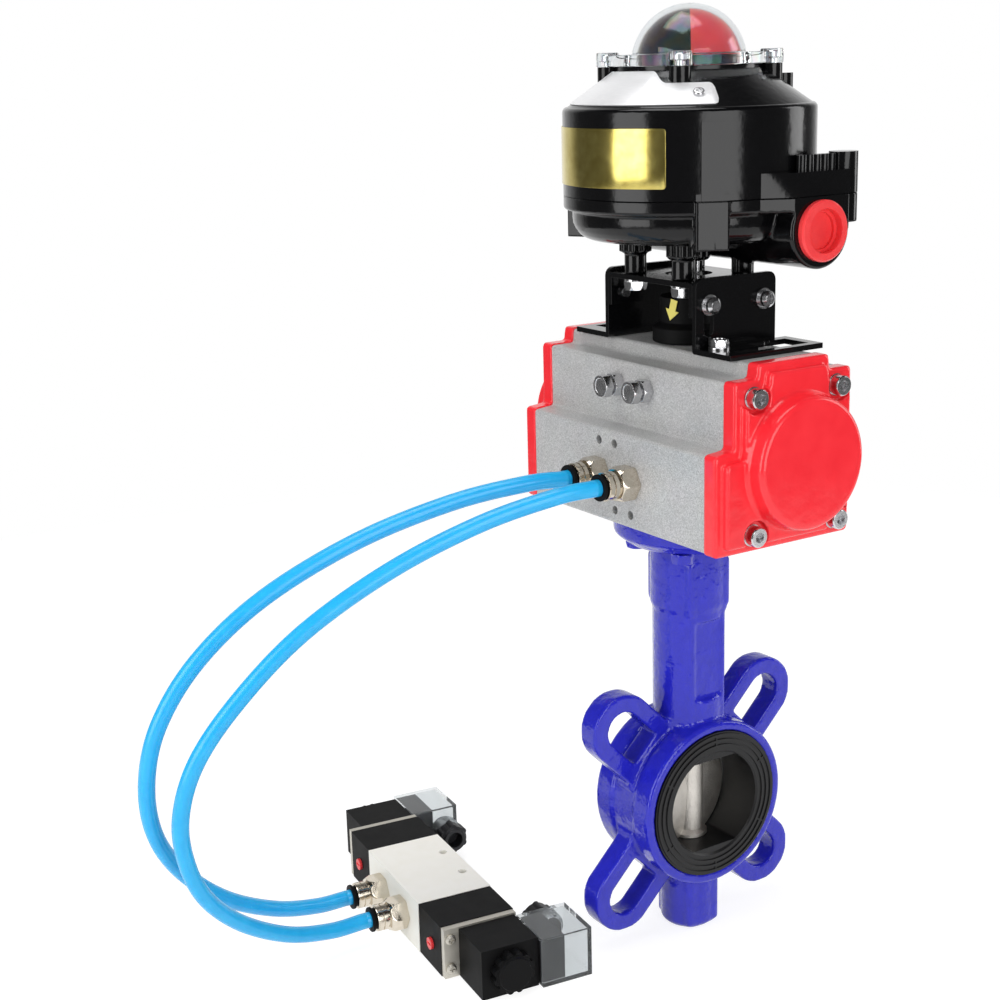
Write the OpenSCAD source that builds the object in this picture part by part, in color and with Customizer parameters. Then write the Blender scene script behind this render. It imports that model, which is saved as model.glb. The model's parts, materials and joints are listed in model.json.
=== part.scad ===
// Quarter-turn wafer butterfly valve with a double-acting rack-and-pinion air actuator,
// a limit switch box on a bracket and a 5/2 double-solenoid valve on two air tubes.
// Millimetres, +Z up. The origin is the centre of the flow bore, X is the pipe axis and
// the air ports face -Y. The rotor stands a few degrees open from the closed stop.

/* [Flow bore and seat] */
// Radius of the flow bore inside the rubber seat
bore_r = 26.5; // [25.5:0.1:27.5]
// Height of the flats above and below the bore centre where the stem passes the seat
seat_flat = 23.2; // [22:0.1:24]
// Wall of the rubber seat behind the bore
seat_wall = 6.5; // [5:0.1:8]
// Outer radius of the seat lips on the ring's faces
lip_r = 37.5; // [36:0.1:39]
// Thickness of each seat lip
lip_t = 4.2; // [3:0.1:6]
// How far each lip stands proud of the iron ring
lip_proud = 0.8; // [0.4:0.1:1.5]

/* [Disc and stems] */
// Gap between the disc's edge and the bore
disc_gap = 0.3; // [0.2:0.05:0.6]
// Thickness of the disc at its hub
disc_t = 8; // [6:0.5:11]
// Radius of the disc's hub
hub_r = 7.5; // [7:0.1:9]
// Radius of the flared ends of the hub
hub_end_r = 9.5; // [8.5:0.1:11]
// Radius of the upper stem
stem_r = 6.35; // [5.9:0.05:6.6]
// Side of the square that drives the disc
disc_sq = 8; // [7:0.1:8.5]
// Side of the square at the stem's top
drive_sq = 9; // [8:0.1:9.2]
// Radius of the lower stem
low_stem_r = 5; // [4:0.1:5.5]
// Angle from the closed stop at which the rotor stands
rest_open = 12; // [4:1:20]

/* [Iron body] */
// Outer radius of the ring
ring_r = 42.5; // [41.5:0.1:45]
// Width of the ring along the pipe
ring_w = 43; // [40:0.5:46]
// Radius of the circle through the four lug slots' centres
lug_pcr = 62.5; // [60:0.5:66]
// Radius of the round end of a lug slot
slot_r = 9.3; // [8:0.1:10.5]
// Wall of a lug around its slot
lug_wall = 8.7; // [7:0.1:11]
// Thickness of the lugs along the pipe
lug_t = 12; // [9:0.5:16]
// Radius of the neck's round core
neck_r = 17.4; // [16:0.1:19]
// Half depth of the neck's flat panels along X
neck_fx = 15.7; // [14.5:0.1:17]
// Half width of the neck's flat panels along Y
neck_fy = 11.7; // [10:0.1:13]
// How much the neck's head is larger than the neck all round
head_out = 1.4; // [0.8:0.1:2.5]
// Height at which the neck's head starts
head_z = 101; // [90:1:112]
// Radius of the top flange
flange_r = 36.5; // [35:0.5:40]
// Thickness of the top flange
flange_t = 15; // [12:0.5:18]
// Height of the top flange's face above the bore centre
mount_z = 147.3; // [142:0.1:152]
// Depth of the bottom boss's foot below the bore centre
foot_z = 71.5; // [68:0.5:75]
// Radius of the bottom boss
boss_r = 14; // [13:0.1:16]
// Radius of the circle through the flange bolts
flange_pcr = 25; // [25:0.5:26]

/* [Actuator body] */
// Length of the extruded body
act_l = 131; // [126:0.5:140]
// Height of the extruded body
act_h = 82.4; // [81:0.2:86]
// Distance of the port face from the stem's axis
port_y = 44.3; // [42:0.1:48]
// Half width of the body above the port pad and at the back
wall_y = 33.6; // [33:0.1:36]
// Half width of the top rail
rail_y = 20; // [19:0.1:22]
// Height of the port pad above the body's foot
pad_h = 44.5; // [42:0.5:47]
// Height of the wide part of the body above its foot
wide_h = 75.6; // [73:0.2:77]
// Radius of the cylinder
cyl_r = 29.5; // [28.5:0.1:30]
// Height of the cylinder's axis above the body's foot
cyl_h = 38.7; // [37.5:0.1:40]
// Height of the two ports above the body's foot
port_h = 22.55; // [20:0.05:25]
// Distance between the two ports
port_gap = 24; // [22:0.5:26]
// Radius of a port's thread wall
port_r = 6.6; // [6.4:0.05:7]

/* [Rack and pinion] */
// Tooth module of the pinion and the racks
tooth_m = 1.25; // [1.25:0.05:1.3]
// Number of teeth on the pinion, twice an odd number
tooth_n = 18; // [18:4:22]
// Backlash of each flank
flank_gap = 0.06; // [0.04:0.01:0.12]
// Width of the racks and the pinion's toothed part
rack_w = 20; // [16:1:22]
// Running gap between piston and cylinder
piston_gap = 0.15; // [0.1:0.05:0.3]
// Distance of a piston's inner face from the stem's axis, as it stands
piston_in = 24.4; // [24:0.1:25]
// Length of a piston's head
piston_l = 18; // [15:0.5:20]
// Travel from stop to stop in degrees
travel = 90; // [85:1:90]

/* [Stops] */
// Radius of the stop cam
cam_r = 12.5; // [11.5:0.1:13]
// Distance of the cam's stop faces from the stem's axis
cam_face = 4; // [3:0.1:5]
// Distance of each stop bolt from the stem's axis along X
stop_x = 10.8; // [10.6:0.1:11.2]
// Height of the stop bolts above the body's foot
stop_h = 64.2; // [63:0.1:65]
// Radius of the stop bolts
stop_r = 3; // [2.5:0.1:3]

/* [End caps] */
// Thickness of an end cap's plate
cap_t = 8; // [7:0.5:10]
// Height of the cap's raised face over its plate
cap_step = 4; // [3:0.5:6]
// Radius of the cap's round boss
cap_boss_r = 30; // [28:0.5:31]
// Height of the round boss over the raised face
cap_boss_h = 9.5; // [7:0.5:12]
// Distance of the cap screws from the middle plane along Y
screw_y = 24.2; // [23:0.1:25]
// Distance of the cap screws above and below the boss's centre
screw_z = 30.8; // [30:0.1:31.5]
// Radius of the cap screws
screw_r = 2.5; // [2:0.1:3]

/* [Bracket] */
// Thickness of the bracket's sheet
sheet = 2.5; // [2:0.1:3]
// Distance of the upright plates' outer faces from the stem's axis
upright_x = 34; // [32:0.1:36]
// Half width of the bracket along Y
bracket_y = 23.6; // [21:0.1:25]
// How far each foot reaches along +Y
foot_y = 31; // [25:0.5:33]
// Height of the uprights
upright_h = 33.8; // [32:0.2:36]
// Distance of the feet's ends from the stem's axis
bracket_foot_x = 58; // [54:0.5:64]
// Distance of the foot bolts from the stem's axis along X
foot_bolt_x = 40; // [38.5:0.5:42]
// Distance of the foot bolts from the middle plane along Y
foot_bolt_y = 15; // [14:0.5:15.5]
// Distance of the side screws from the middle plane along Y
side_screw_y = 16; // [15:0.5:17]

/* [Switch box] */
// Height of the box's feet above the actuator's top face
box_h = 31.8; // [29:0.2:34]
// Length of the box's feet below the bowl
leg_l = 17.2; // [15:0.2:20]
// Distance of the feet from the stem's axis along X and along Y
leg_xy = 17.7; // [17:0.1:18.5]
// Radius of the box's rim
box_r = 58; // [56:0.5:60]
// Radius of the bowl under the rim
bowl_r = 54; // [52.5:0.5:55]
// Height of the bowl
bowl_h = 20.5; // [19:0.5:23]
// Height of the cover's straight wall
cover_h = 38.5; // [36:0.5:40]
// Height of the cover's cone
cone_h = 15.4; // [14:0.2:18]
// Radius of the cover's top
top_r = 33.5; // [32:0.5:35]
// Radius of the clear dome's flange
flange_out = 36.5; // [35:0.5:38]
// Wall of the box
box_wall = 3.5; // [3:0.5:4]
// Distance of the conduit's axis behind the stem
conduit_y = 21.3; // [20:0.1:24]
// Outer radius of the conduit bosses
conduit_r = 17; // [16:0.5:18]
// Distance of the conduit mouths from the stem's axis
conduit_x = 65.5; // [64:0.5:68]
// Radius of the conduit thread's wall
conduit_bore = 10.4; // [9.5:0.1:11]
// Outer radius of the clear dome
dome_r = 26.2; // [25:0.1:27]
// Wall of the clear dome
dome_wall = 2; // [1.5:0.1:2.2]
// Thickness of the clear flange
dome_flange = 5.2; // [4:0.2:6]
// Distance of the dome's tabs from the stem's axis
tab_pcr = 37.2; // [37:0.1:39]
// Radius of the switch shaft
shaft_r = 5; // [4.5:0.1:5.5]

/* [Solenoid valve] */
// Length of the valve block
sol_l = 66.5; // [64:0.5:70]
// Width of the valve block from port face to port face
sol_w = 40; // [38:0.5:42]
// Thickness of the valve block
sol_t = 27; // [25.5:0.5:28]
// Length of each pilot block
pilot_l = 26.5; // [24:0.5:28]
// Distance of the two outlets from the block's middle
outlet_x = 13.5; // [13:0.1:14.5]
// Length of a coil
coil_l = 26; // [24:0.5:28]
// Width of a coil
coil_w = 30; // [28:0.5:32]
// Height of a coil
coil_h = 25.5; // [24:0.5:26]
// Length of a plug connector
plug_l = 28; // [26:0.5:30]
// Width of a plug connector
plug_w = 27; // [25:0.5:29]
// Radius of the spool
spool_r = 7; // [6:0.1:7.5]
// Turn of the solenoid valve on the floor
sol_turn = -7; // [-12:1:0]

/* [Air fittings] */
// Outer radius of the air tube
tube_r = 4; // [4:0.1:4]
// Radius of a fitting's barrel
barrel_r = 6.7; // [6.4:0.1:7.2]
// Length of a fitting outside its port, up to the collet
fit_l = 16; // [15:0.5:17]
// Travel of a release collet
collet_stroke = 1; // [0.8:0.1:1.3]

/* [Hidden] */
$fn = 64;

// fits
fit = 0.05;
run = 0.08;
seat_gap = 0.15;

// flow bore and seat
seat_back = bore_r + seat_wall;
lip_x = ring_w / 2 - lip_t + lip_proud;
face_x = ring_w / 2 + lip_proud;
disc_r = bore_r - disc_gap;
hub_z = seat_flat - disc_gap;
bush_r = stem_r + 2.2;
low_end = foot_z - 7;
flange_xy = flange_pcr / sqrt(2);

// actuator
act_z0 = mount_z;
act_z1 = act_z0 + max(act_h, wide_h);
cyl_z = act_z0 + cyl_h;
port_z = act_z0 + port_h;
stop_z = act_z0 + stop_h;
half_l = act_l / 2;
piston_r = cyl_r - piston_gap;
gallery_y = -port_y + 9;
gallery_z = act_z0 + 7.8;

// rack and pinion
pitch = PI * tooth_m;
pitch_r = tooth_m * tooth_n / 2;
tip_r = pitch_r + tooth_m;
root_r = pitch_r - 1.25 * tooth_m;
base_r = pitch_r * cos(20);
journal_r = tip_r + 0.3;
upper_r = 7.2;
stub_r = 6.5;
cam_hub_r = upper_r + 1.5;
bear_t = 1.9;
swept = pitch_r * PI / 180;
open_by = swept * (travel - rest_open);
shut_by = swept * rest_open;
rack_tip = piston_in - 2 * shut_by - 0.4;
rack_back = 21;
cam_z0 = stop_z - 3.2;
cam_z1 = stop_z + 2.6;
stub_z = act_z1 + 11;
slot_z = stub_z - 4;
tongue = 4;

// caps
screw_zc = cyl_z - 0.7;
cap_x1 = half_l + cap_t;
cap_x2 = cap_x1 + cap_step;
cap_x3 = cap_x2 + cap_boss_h;

// bracket and box
bridge_z = act_z1 + box_h;
side_screw_z = act_z1 + 21.8;
bowl_z = bridge_z + leg_l;
seam_z = bowl_z + bowl_h;
wall_z = seam_z + cover_h;
cone_z = wall_z + 1;
top_z = cone_z + cone_h + 1.7;
conduit_z = bowl_z + 5.2;
ext_y = conduit_y + conduit_r;
dome_z = top_z + 1;
tab_xy = tab_pcr / sqrt(2);

// solenoid valve
sol_at = [-80, -108, -foot_z];
spool_z = sol_t / 2;
pilot_x = sol_l / 2 + pilot_l;
coil_x = pilot_x + 3.6;
coil_y = 3.4;
plug_x = coil_x + 1.6;
plug_y = coil_y + coil_w / 2 + seat_gap;
core_r = 4.5;
core_z = spool_z - 0.6;
plate_screws = [[-16.2, 5.5], [-16.2, 21]];
button_x = sol_l / 2 + pilot_l / 2 + 1.5;
button_z = 12.5;
spool_stroke = 4;
plunger_stroke = 1.5;
plug_base = 13;
gland_y = plug_y + plug_w - 8.6;
gland_z = 13;

// air tubes: a point on the axis of a port or an outlet, y in front of its face
function port(s, y) = [s * port_gap / 2, y - port_y, port_z];
function outlet(s, y) = sol_at + [s * outlet_x * cos(sol_turn) - (y - sol_w / 2) * sin(sol_turn),
    s * outlet_x * sin(sol_turn) + (y - sol_w / 2) * cos(sol_turn), spool_z];
// how far each tube goes into its fittings, and where it starts to bend
tube_in = -5.3;
tube_out = -fit_l - 3.1;
// points along each tube's centre line between its fittings, chosen by hand
tube_a = [[-15, -84, 170], [-24, -119, 165], [-35, -163, 152], [-45, -206, 131], [-54, -236, 105],
    [-61, -254, 76], [-66, -260, 47], [-71, -256, 19], [-76, -242, -6], [-82, -219, -29], [-89, -191, -46],
    [-95, -166, -55]];
tube_b = [[9, -84, 168.5], [0, -119, 160], [-12, -159, 143], [-23, -198, 119], [-32, -227, 91],
    [-39, -246, 64], [-45, -253, 37], [-50, -250, 12], [-55, -240, -11], [-61, -221, -32],
    [-67, -195, -49], [-71, -170, -57]];

// ---- helpers -------------------------------------------------------------------------

// unit vector
function unit(v) = v / norm(v);
// a point on the smooth curve through p1 and p2, with neighbours p0 and p3
function smooth(p0, p1, p2, p3, t) = 0.5 * (2 * p1 + (p2 - p0) * t
    + (2 * p0 - 5 * p1 + 4 * p2 - p3) * t * t + (3 * p1 - p0 - 3 * p2 + p3) * t * t * t);
// the curve through all points, two steps to each span
function route(p) = concat([for (i = [0:len(p) - 2]) each [for (t = [0, 0.5])
    smooth(p[max(i - 1, 0)], p[i], p[i + 1], p[min(i + 2, len(p) - 1)], t)]], [p[len(p) - 1]]);
// the direction of the curve at point i
function along(q, i) = unit(q[min(i + 1, len(q) - 1)] - q[max(i - 1, 0)]);

// a round tube of radius r along the points q; the route stays near a plane across X
module tube(q, r, n = 10) {
    m = len(q);
    pts = [for (i = [0:m - 1]) let (t = along(q, i), a = unit(cross(t, [1, 0, 0])), b = cross(t, a))
        for (k = [0:n - 1]) q[i] + r * (cos(360 * k / n) * a + sin(360 * k / n) * b)];
    sides = [for (i = [0:m - 2]) for (k = [0:n - 1])
        [i * n + k, i * n + (k + 1) % n, (i + 1) * n + (k + 1) % n, (i + 1) * n + k]];
    ends = [[for (k = [n - 1:-1:0]) k], [for (k = [0:n - 1]) (m - 1) * n + k]];
    polyhedron(points = pts, faces = concat(sides, ends), convexity = 6);
}

// points of a polygon with its corners rounded by radius r in s steps
function rounded(p, r, s = 4) = [for (i = [0:len(p) - 1])
    let (a = p[(i + len(p) - 1) % len(p)], b = p[i], c = p[(i + 1) % len(p)],
        u = unit(a - b), v = unit(c - b), w = acos(u * v) / 2, d = r / tan(w),
        m = b + unit(u + v) * r / sin(w), k = sign(u[0] * v[1] - u[1] * v[0]),
        a0 = atan2((b + u * d - m)[1], (b + u * d - m)[0]))
    each [for (j = [0:s]) let (g = a0 - k * (180 - 2 * w) * j / s) m + r * [cos(g), sin(g)]]];

// a cylinder along X from x0 to x1
module xcyl(r, x0, x1, y = 0, z = 0, fn = 64) {
    translate([x0, y, z]) rotate([0, 90, 0]) cylinder(r = r, h = x1 - x0, $fn = fn);
}
// a cylinder along -Y from y0 to y1, y1 below y0
module ycyl(r, y0, y1, x = 0, z = 0, fn = 64) {
    translate([x, y0, z]) rotate([90, 0, 0]) cylinder(r = r, h = y0 - y1, $fn = fn);
}
// a cylinder along Z from z0 to z1
module zcyl(r, z0, z1, x = 0, y = 0, fn = 64) {
    translate([x, y, z0]) cylinder(r = r, h = z1 - z0, $fn = fn);
}
// a ring along Z
module zring(r0, r1, z0, z1) {
    difference() {
        zcyl(r1, z0, z1);
        zcyl(r0, z0 - 1, z1 + 1);
    }
}
// a box between two corners
module box(a, b) {
    translate(a) cube(b - a);
}
// an upright block, its vertical edges rounded by r
module block(x, y, z0, z1, r = 2.6) {
    translate([0, 0, z0]) linear_extrude(z1 - z0) polygon(rounded([[-x, -y], [x, -y], [x, y], [-x, y]], r));
}
// one copy at each of the four corners +-x, +-y
module corners(x, y) {
    for (i = [-1, 1]) for (j = [-1, 1]) translate([i * x, j * y, 0]) children();
}
// a piece and its mirror image across the plane x = 0
module both_x() {
    children();
    mirror([1, 0, 0]) children();
}
// a hexagon bolt along Z, head up, its shank reaching down by l
module hex_bolt(r, l, af, h) {
    difference() {
        intersection() {
            cylinder(r = af / sqrt(3), h = h, $fn = 6);
            cylinder(r1 = af / sqrt(3) + 0.4, r2 = af / 2 - 0.2, h = h * 1.35);
        }
        translate([0, 0, h - 0.3]) cylinder(r = af / 2 - 1.2, h = 1);
    }
    translate([0, 0, -l]) cylinder(r = r, h = l + 0.2);
}
// a socket-head screw along Z, head up, its shank reaching down by l
module cap_screw(r, l, hr, h) {
    difference() {
        union() {
            cylinder(r = hr, h = h - 0.5);
            translate([0, 0, h - 0.5]) cylinder(r1 = hr, r2 = hr - 0.5, h = 0.5);
        }
        translate([0, 0, h / 2]) cylinder(r = hr * 0.55, h = h, $fn = 6);
    }
    translate([0, 0, -l]) cylinder(r = r, h = l + 0.1);
}
// a pan-head screw with a cross recess along Z, head up, its shank reaching down by l
module pan_screw(r, l, hr, h) {
    difference() {
        union() {
            cylinder(r = hr, h = h * 0.6);
            translate([0, 0, h * 0.6]) cylinder(r1 = hr, r2 = hr * 0.65, h = h * 0.4);
        }
        for (a = [0, 90]) rotate(a) translate([-hr * 0.55, -hr * 0.12, h * 0.55])
            cube([hr * 1.1, hr * 0.24, h]);
    }
    translate([0, 0, -l]) cylinder(r = r, h = l + 0.1);
}
// places children on the solenoid valve, which lies on the floor beside the valve
module on_solenoid() {
    translate(sol_at) rotate([0, 0, sol_turn]) children();
}

// ---- wafer valve ---------------------------------------------------------------------

// outline of one lug along +Y: a loop whose sides blend into the ring
module lug_outline() {
    w = slot_r + lug_wall;
    f = 6;
    c = [sqrt((ring_r + f) * (ring_r + f) - (w + f) * (w + f)), w + f];
    t = c * ring_r / (ring_r + f);
    translate([lug_pcr, 0]) circle(r = w);
    translate([ring_r - 10, -w]) square([lug_pcr - ring_r + 10, 2 * w]);
    for (s = [0, 1]) mirror([0, s, 0]) difference() {
        polygon([[t[0] - 4, w - 1], [c[0], w - 1], c, t]);
        translate(c) circle(r = f);
    }
}

module lug() {
    rotate([90, 0, 90]) translate([0, 0, -lug_t / 2]) linear_extrude(lug_t) difference() {
        lug_outline();
        translate([lug_pcr, 0]) circle(r = slot_r);
        translate([ring_r + 2, -slot_r]) square([lug_pcr - ring_r - 2, 2 * slot_r]);
    }
}

module valve_body() {
    in_r = seat_back + fit;
    color([0.17, 0.17, 0.75]) difference() {
        union() {
            xcyl(ring_r - 1.4, -ring_w / 2 + 1, ring_w / 2 - 1);
            both_x() {
                xcyl(ring_r, lug_t / 2 + 3, ring_w / 2 - 1);
                translate([ring_w / 2 - 1, 0, 0]) rotate([0, 90, 0])
                    cylinder(r1 = ring_r, r2 = ring_r - 1, h = 1);
            }
            for (a = [45:90:315]) rotate([a, 0, 0]) lug();
            zcyl(neck_r, 34, mount_z - flange_t + 2);
            block(neck_fx, neck_fy, 34, mount_z - flange_t + 2);
            zcyl(neck_r + head_out, head_z, mount_z - flange_t + 2);
            translate([0, 0, head_z - 3]) cylinder(r1 = neck_r, r2 = neck_r + head_out, h = 3);
            block(neck_fx + head_out, neck_fy + head_out, head_z, mount_z - flange_t + 2);
            block(neck_fx + head_out / 2, neck_fy + head_out / 2, head_z - 3, head_z + 1);
            translate([0, 0, mount_z - flange_t - 1.5]) rotate_extrude() polygon([[0, 0], [neck_r + 5, 0],
                [neck_r + 12, 1.5], [flange_r - 1, 6], [flange_r, 7.5], [flange_r, flange_t + 1.5],
                [0, flange_t + 1.5]]);
            zcyl(boss_r, -foot_z + 2.5, -34);
            translate([0, 0, -foot_z]) cylinder(r1 = boss_r - 2.5, r2 = boss_r, h = 2.5);
            block(boss_r - 0.7, boss_r - 3.6, -foot_z + 2.4, -34, 3);
            block(boss_r - 1.7, boss_r - 4.6, -foot_z + 0.9, -34, 3);
            block(boss_r - 3.4, boss_r - 6.2, -foot_z, -34, 3);
        }
        xcyl(in_r, -ring_w, ring_w);
        xcyl(lip_r + fit, lip_x - fit, ring_w);
        xcyl(lip_r + fit, -ring_w, -lip_x + fit);
        zcyl(bush_r + fit, 20, mount_z + 1);
        zcyl(low_stem_r + 1.5 + fit, -low_end - 0.3, -20);
        corners(flange_xy, flange_xy) {
            zcyl(3.2, 110, mount_z + 1);
            zcyl(6.6, mount_z - flange_t - 8, mount_z - flange_t);
        }
        both_x() box([neck_fx - 1, -8.6, 54], [neck_fx + 2, 8.6, 94]);
    }
}

module valve_seat() {
    hr = stem_r + run;
    color([0.06, 0.06, 0.06]) difference() {
        union() {
            xcyl(seat_back, -lip_x - 0.1, lip_x + 0.1);
            both_x() {
                xcyl(lip_r, lip_x, face_x - 0.6);
                for (r = [lip_r - 0.9, lip_r - 3.7, lip_r - 6.5]) translate([face_x - 0.61, 0, 0])
                    rotate([0, 90, 0]) difference() {
                        cylinder(r = r, h = 0.61);
                        translate([0, 0, -1]) cylinder(r = r - 1.3, h = 3);
                    }
                for (a = [0:60:300]) rotate([a, 0, 0])
                    box([face_x - 0.61, -0.4, lip_r - 7], [face_x - 0.1, 0.4, lip_r - 1]);
            }
        }
        intersection() {
            xcyl(bore_r, -ring_w, ring_w);
            box([-ring_w, -ring_w, -seat_flat], [ring_w, ring_w, seat_flat]);
        }
        both_x() translate([face_x - 1.5, 0, 0])
            rotate([0, 90, 0]) cylinder(r1 = bore_r, r2 = bore_r + 1.5, h = 1.52);
        zcyl(hr, 0, 60);
        zcyl(low_stem_r + run, -60, 0);
    }
}

module valve_disc() {
    e = disc_t / 2;
    color([0.62, 0.6, 0.58]) rotate(rest_open) difference() {
        union() {
            intersection() {
                rotate([0, 90, 0]) rotate_extrude() polygon([[0, -e], [hub_r, -e], [disc_r - 2.4, -2.4],
                    [disc_r - 0.3, -1.6], [disc_r, 0], [disc_r - 0.3, 1.6], [disc_r - 2.4, 2.4],
                    [hub_r, e], [0, e]]);
                box([-20, -40, -hub_z], [20, 40, hub_z]);
            }
            zcyl(hub_r, -hub_z, hub_z);
            for (s = [0, 180]) rotate([s, 0, 0]) {
                zcyl(hub_end_r, hub_z - 1.6, hub_z);
                translate([0, 0, hub_z - 3.6]) cylinder(r1 = hub_r, r2 = hub_end_r, h = 2);
            }
        }
        box([-disc_sq / 2 - fit, -disc_sq / 2 - fit, 4], [disc_sq / 2 + fit, disc_sq / 2 + fit, 40]);
        zcyl(low_stem_r + fit, -40, -4);
    }
}

module upper_stem() {
    color([0.75, 0.75, 0.76]) rotate(rest_open) {
        zcyl(stem_r, hub_z + 0.1, mount_z - 0.5);
        box([-disc_sq / 2, -disc_sq / 2, 4.2], [disc_sq / 2, disc_sq / 2, hub_z + 0.2]);
        intersection() {
            box([-drive_sq / 2, -drive_sq / 2, mount_z - 1], [drive_sq / 2, drive_sq / 2, mount_z + 14]);
            zcyl(stem_r, mount_z - 1, mount_z + 14);
        }
    }
}

module lower_stem() {
    color([0.75, 0.75, 0.76]) zcyl(low_stem_r, -low_end, -4.3);
}

module bushes() {
    color([0.7, 0.55, 0.3]) {
        zring(stem_r + run, bush_r, seat_back + 2, seat_back + 22);
        zring(stem_r + run, bush_r, mount_z - 30, mount_z - 10);
        zring(low_stem_r + run, low_stem_r + 1.5, -low_end, -seat_back - 2);
        zring(shaft_r + run, shaft_r + 1.9, bowl_z - 11, bowl_z + box_wall + 1);
    }
}

module flange_bolts() {
    color([0.78, 0.78, 0.8]) corners(flange_xy, flange_xy)
        translate([0, 0, mount_z - flange_t]) rotate([180, 0, 0]) {
            zring(3.15, 5.6, 0, 1);
            translate([0, 0, 1]) hex_bolt(3, flange_t + 9, 10, 4);
        }
}

// ---- actuator ------------------------------------------------------------------------

// cross-section of the extrusion across X; x is Y and y is Z
function act_section(d) = [[-port_y + d, act_z0 + d], [wall_y - d, act_z0 + d],
    [wall_y - d, act_z0 + wide_h - d], [rail_y + 0.6 - d, act_z0 + wide_h - d],
    [rail_y - d, act_z1 - d], [-rail_y + d, act_z1 - d],
    [-rail_y - 0.6 + d, act_z0 + wide_h - d], [-wall_y + d, act_z0 + wide_h - d],
    [-wall_y + d, act_z0 + pad_h - d + 1], [-port_y + d, act_z0 + pad_h - d]];

// the section, inset by d, between two stations along X
module slab(x0, x1, d = 0, r = 1.6) {
    translate([x0, 0, 0]) rotate([90, 0, 90]) linear_extrude(x1 - x0) polygon(rounded(act_section(d), r));
}

module actuator_body() {
    color([0.7, 0.7, 0.69]) difference() {
        slab(-half_l, half_l);
        xcyl(cyl_r, -half_l - 1, half_l + 1, 0, cyl_z);
        zcyl(journal_r + bear_t + fit, act_z0 - 1, cyl_z);
        zcyl(upper_r + bear_t + fit, cyl_z, act_z1 + 1);
        zcyl(cam_r + 1, cyl_z, cam_z1 + 1.5);
        for (s = [-1, 1]) {
            ycyl(port_r, -port_y + 12, -port_y - 1, s * port_gap / 2, port_z);
            ycyl(stop_r + fit, 0, -port_y, s * stop_x, stop_z);
            for (i = [-1, 1]) for (j = [-1, 1])
                xcyl(screw_r + fit, s > 0 ? half_l - 12 : -half_l - 1, s > 0 ? half_l + 1 : -half_l + 12,
                    i * screw_y, screw_zc + j * screw_z);
        }
        ycyl(2.5, -cyl_r + 10, -port_y + 11, -port_gap / 2, port_z);
        zcyl(2, gallery_z, port_z, port_gap / 2, gallery_y);
        xcyl(2.5, -half_l - 1, half_l + 1, gallery_y, gallery_z);
        for (p = [[-12, 16], [0, 16], [0, -16], [12, -16]])
            ycyl(2.1, -port_y + 5, -port_y - 1, p[0], port_z + p[1]);
        corners(flange_xy, flange_xy) zcyl(3 + fit, act_z0 - 1, act_z0 + 8.3);
        corners(foot_bolt_x, foot_bolt_y) zcyl(2.5 + fit, act_z1 - 9, act_z1 + 1);
    }
}

// an end cap at the +X end: plate, raised face with screw pockets, round boss, hollow inside
module end_cap() {
    color([0.93, 0.18, 0.2]) difference() {
        union() {
            slab(half_l, cap_x1 - 0.8, -0.6, 2);
            slab(cap_x1 - 0.81, cap_x1, 0.1, 2);
            difference() {
                union() {
                    slab(cap_x1 - 0.1, cap_x2 - 0.8, 3.2, 2);
                    slab(cap_x2 - 0.81, cap_x2, 3.9, 2);
                }
                for (i = [-1, 1]) for (j = [-1, 1])
                    xcyl(7, cap_x1, cap_x2 + 1, i * screw_y, screw_zc + j * screw_z);
            }
            translate([cap_x2 - 3, 0, screw_zc]) rotate([0, 90, 0]) rotate_extrude() polygon(concat(
                [[0, 0], [cap_boss_r + 1.6, 0], [cap_boss_r + 1.2, 3.6], [cap_boss_r + 0.4, 5]],
                [for (a = [0:15:90]) [cap_boss_r - 2.6 + 2.6 * cos(a), 3 + cap_boss_h - 2.6 + 2.6 * sin(a)]],
                [[0, 3 + cap_boss_h]]));
        }
        xcyl(cyl_r - 3, half_l - 1, cap_x3 - 6, 0, cyl_z);
        translate([half_l - 0.01, 0, cyl_z]) rotate([0, 90, 0]) difference() {
            cylinder(r = cyl_r + 3.4, h = 2.4);
            translate([0, 0, -1]) cylinder(r = cyl_r + 0.6, h = 4);
        }
        for (i = [-1, 1]) for (j = [-1, 1])
            xcyl(screw_r + 0.2, half_l - 1, cap_x2 + 1, i * screw_y, screw_zc + j * screw_z);
        xcyl(2.5, half_l - 1, half_l + 7, gallery_y, gallery_z);
        translate([half_l + 4.4, gallery_y, gallery_z])
            rotate([-atan2(-gallery_y, cyl_z - gallery_z), 0, 0]) cylinder(r = 1.6, h = 26);
    }
}

module end_cap_right() {
    end_cap();
}

module end_cap_left() {
    mirror([1, 0, 0]) end_cap();
}

module seals() {
    color([0.05, 0.05, 0.05]) {
        for (z = [mount_z - 8.2, mount_z - 4.4]) translate([0, 0, z]) rotate_extrude()
            translate([stem_r + run + 1.03, 0]) circle(r = 1);
        both_x() translate([half_l + 1.15, 0, cyl_z]) rotate([0, 90, 0]) rotate_extrude()
            translate([cyl_r + 2, 0]) circle(r = 1.05);
        translate([0, 0, seam_z - 0.95]) rotate_extrude()
            translate([bowl_r - box_wall + 1.5, 0]) circle(r = 0.92);
    }
}

module end_cap_screws() {
    color([0.8, 0.8, 0.82]) for (s = [0, 180]) rotate([0, 0, s])
        for (i = [-1, 1]) for (j = [-1, 1]) translate([cap_x1 + 0.02, i * screw_y, screw_zc + j * screw_z])
            rotate([0, 90, 0]) {
                zring(screw_r + 0.1, 5, 0, 0.8);
                translate([0, 0, 0.8]) cap_screw(screw_r, cap_t + 10, 4.6, 5);
            }
}

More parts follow.
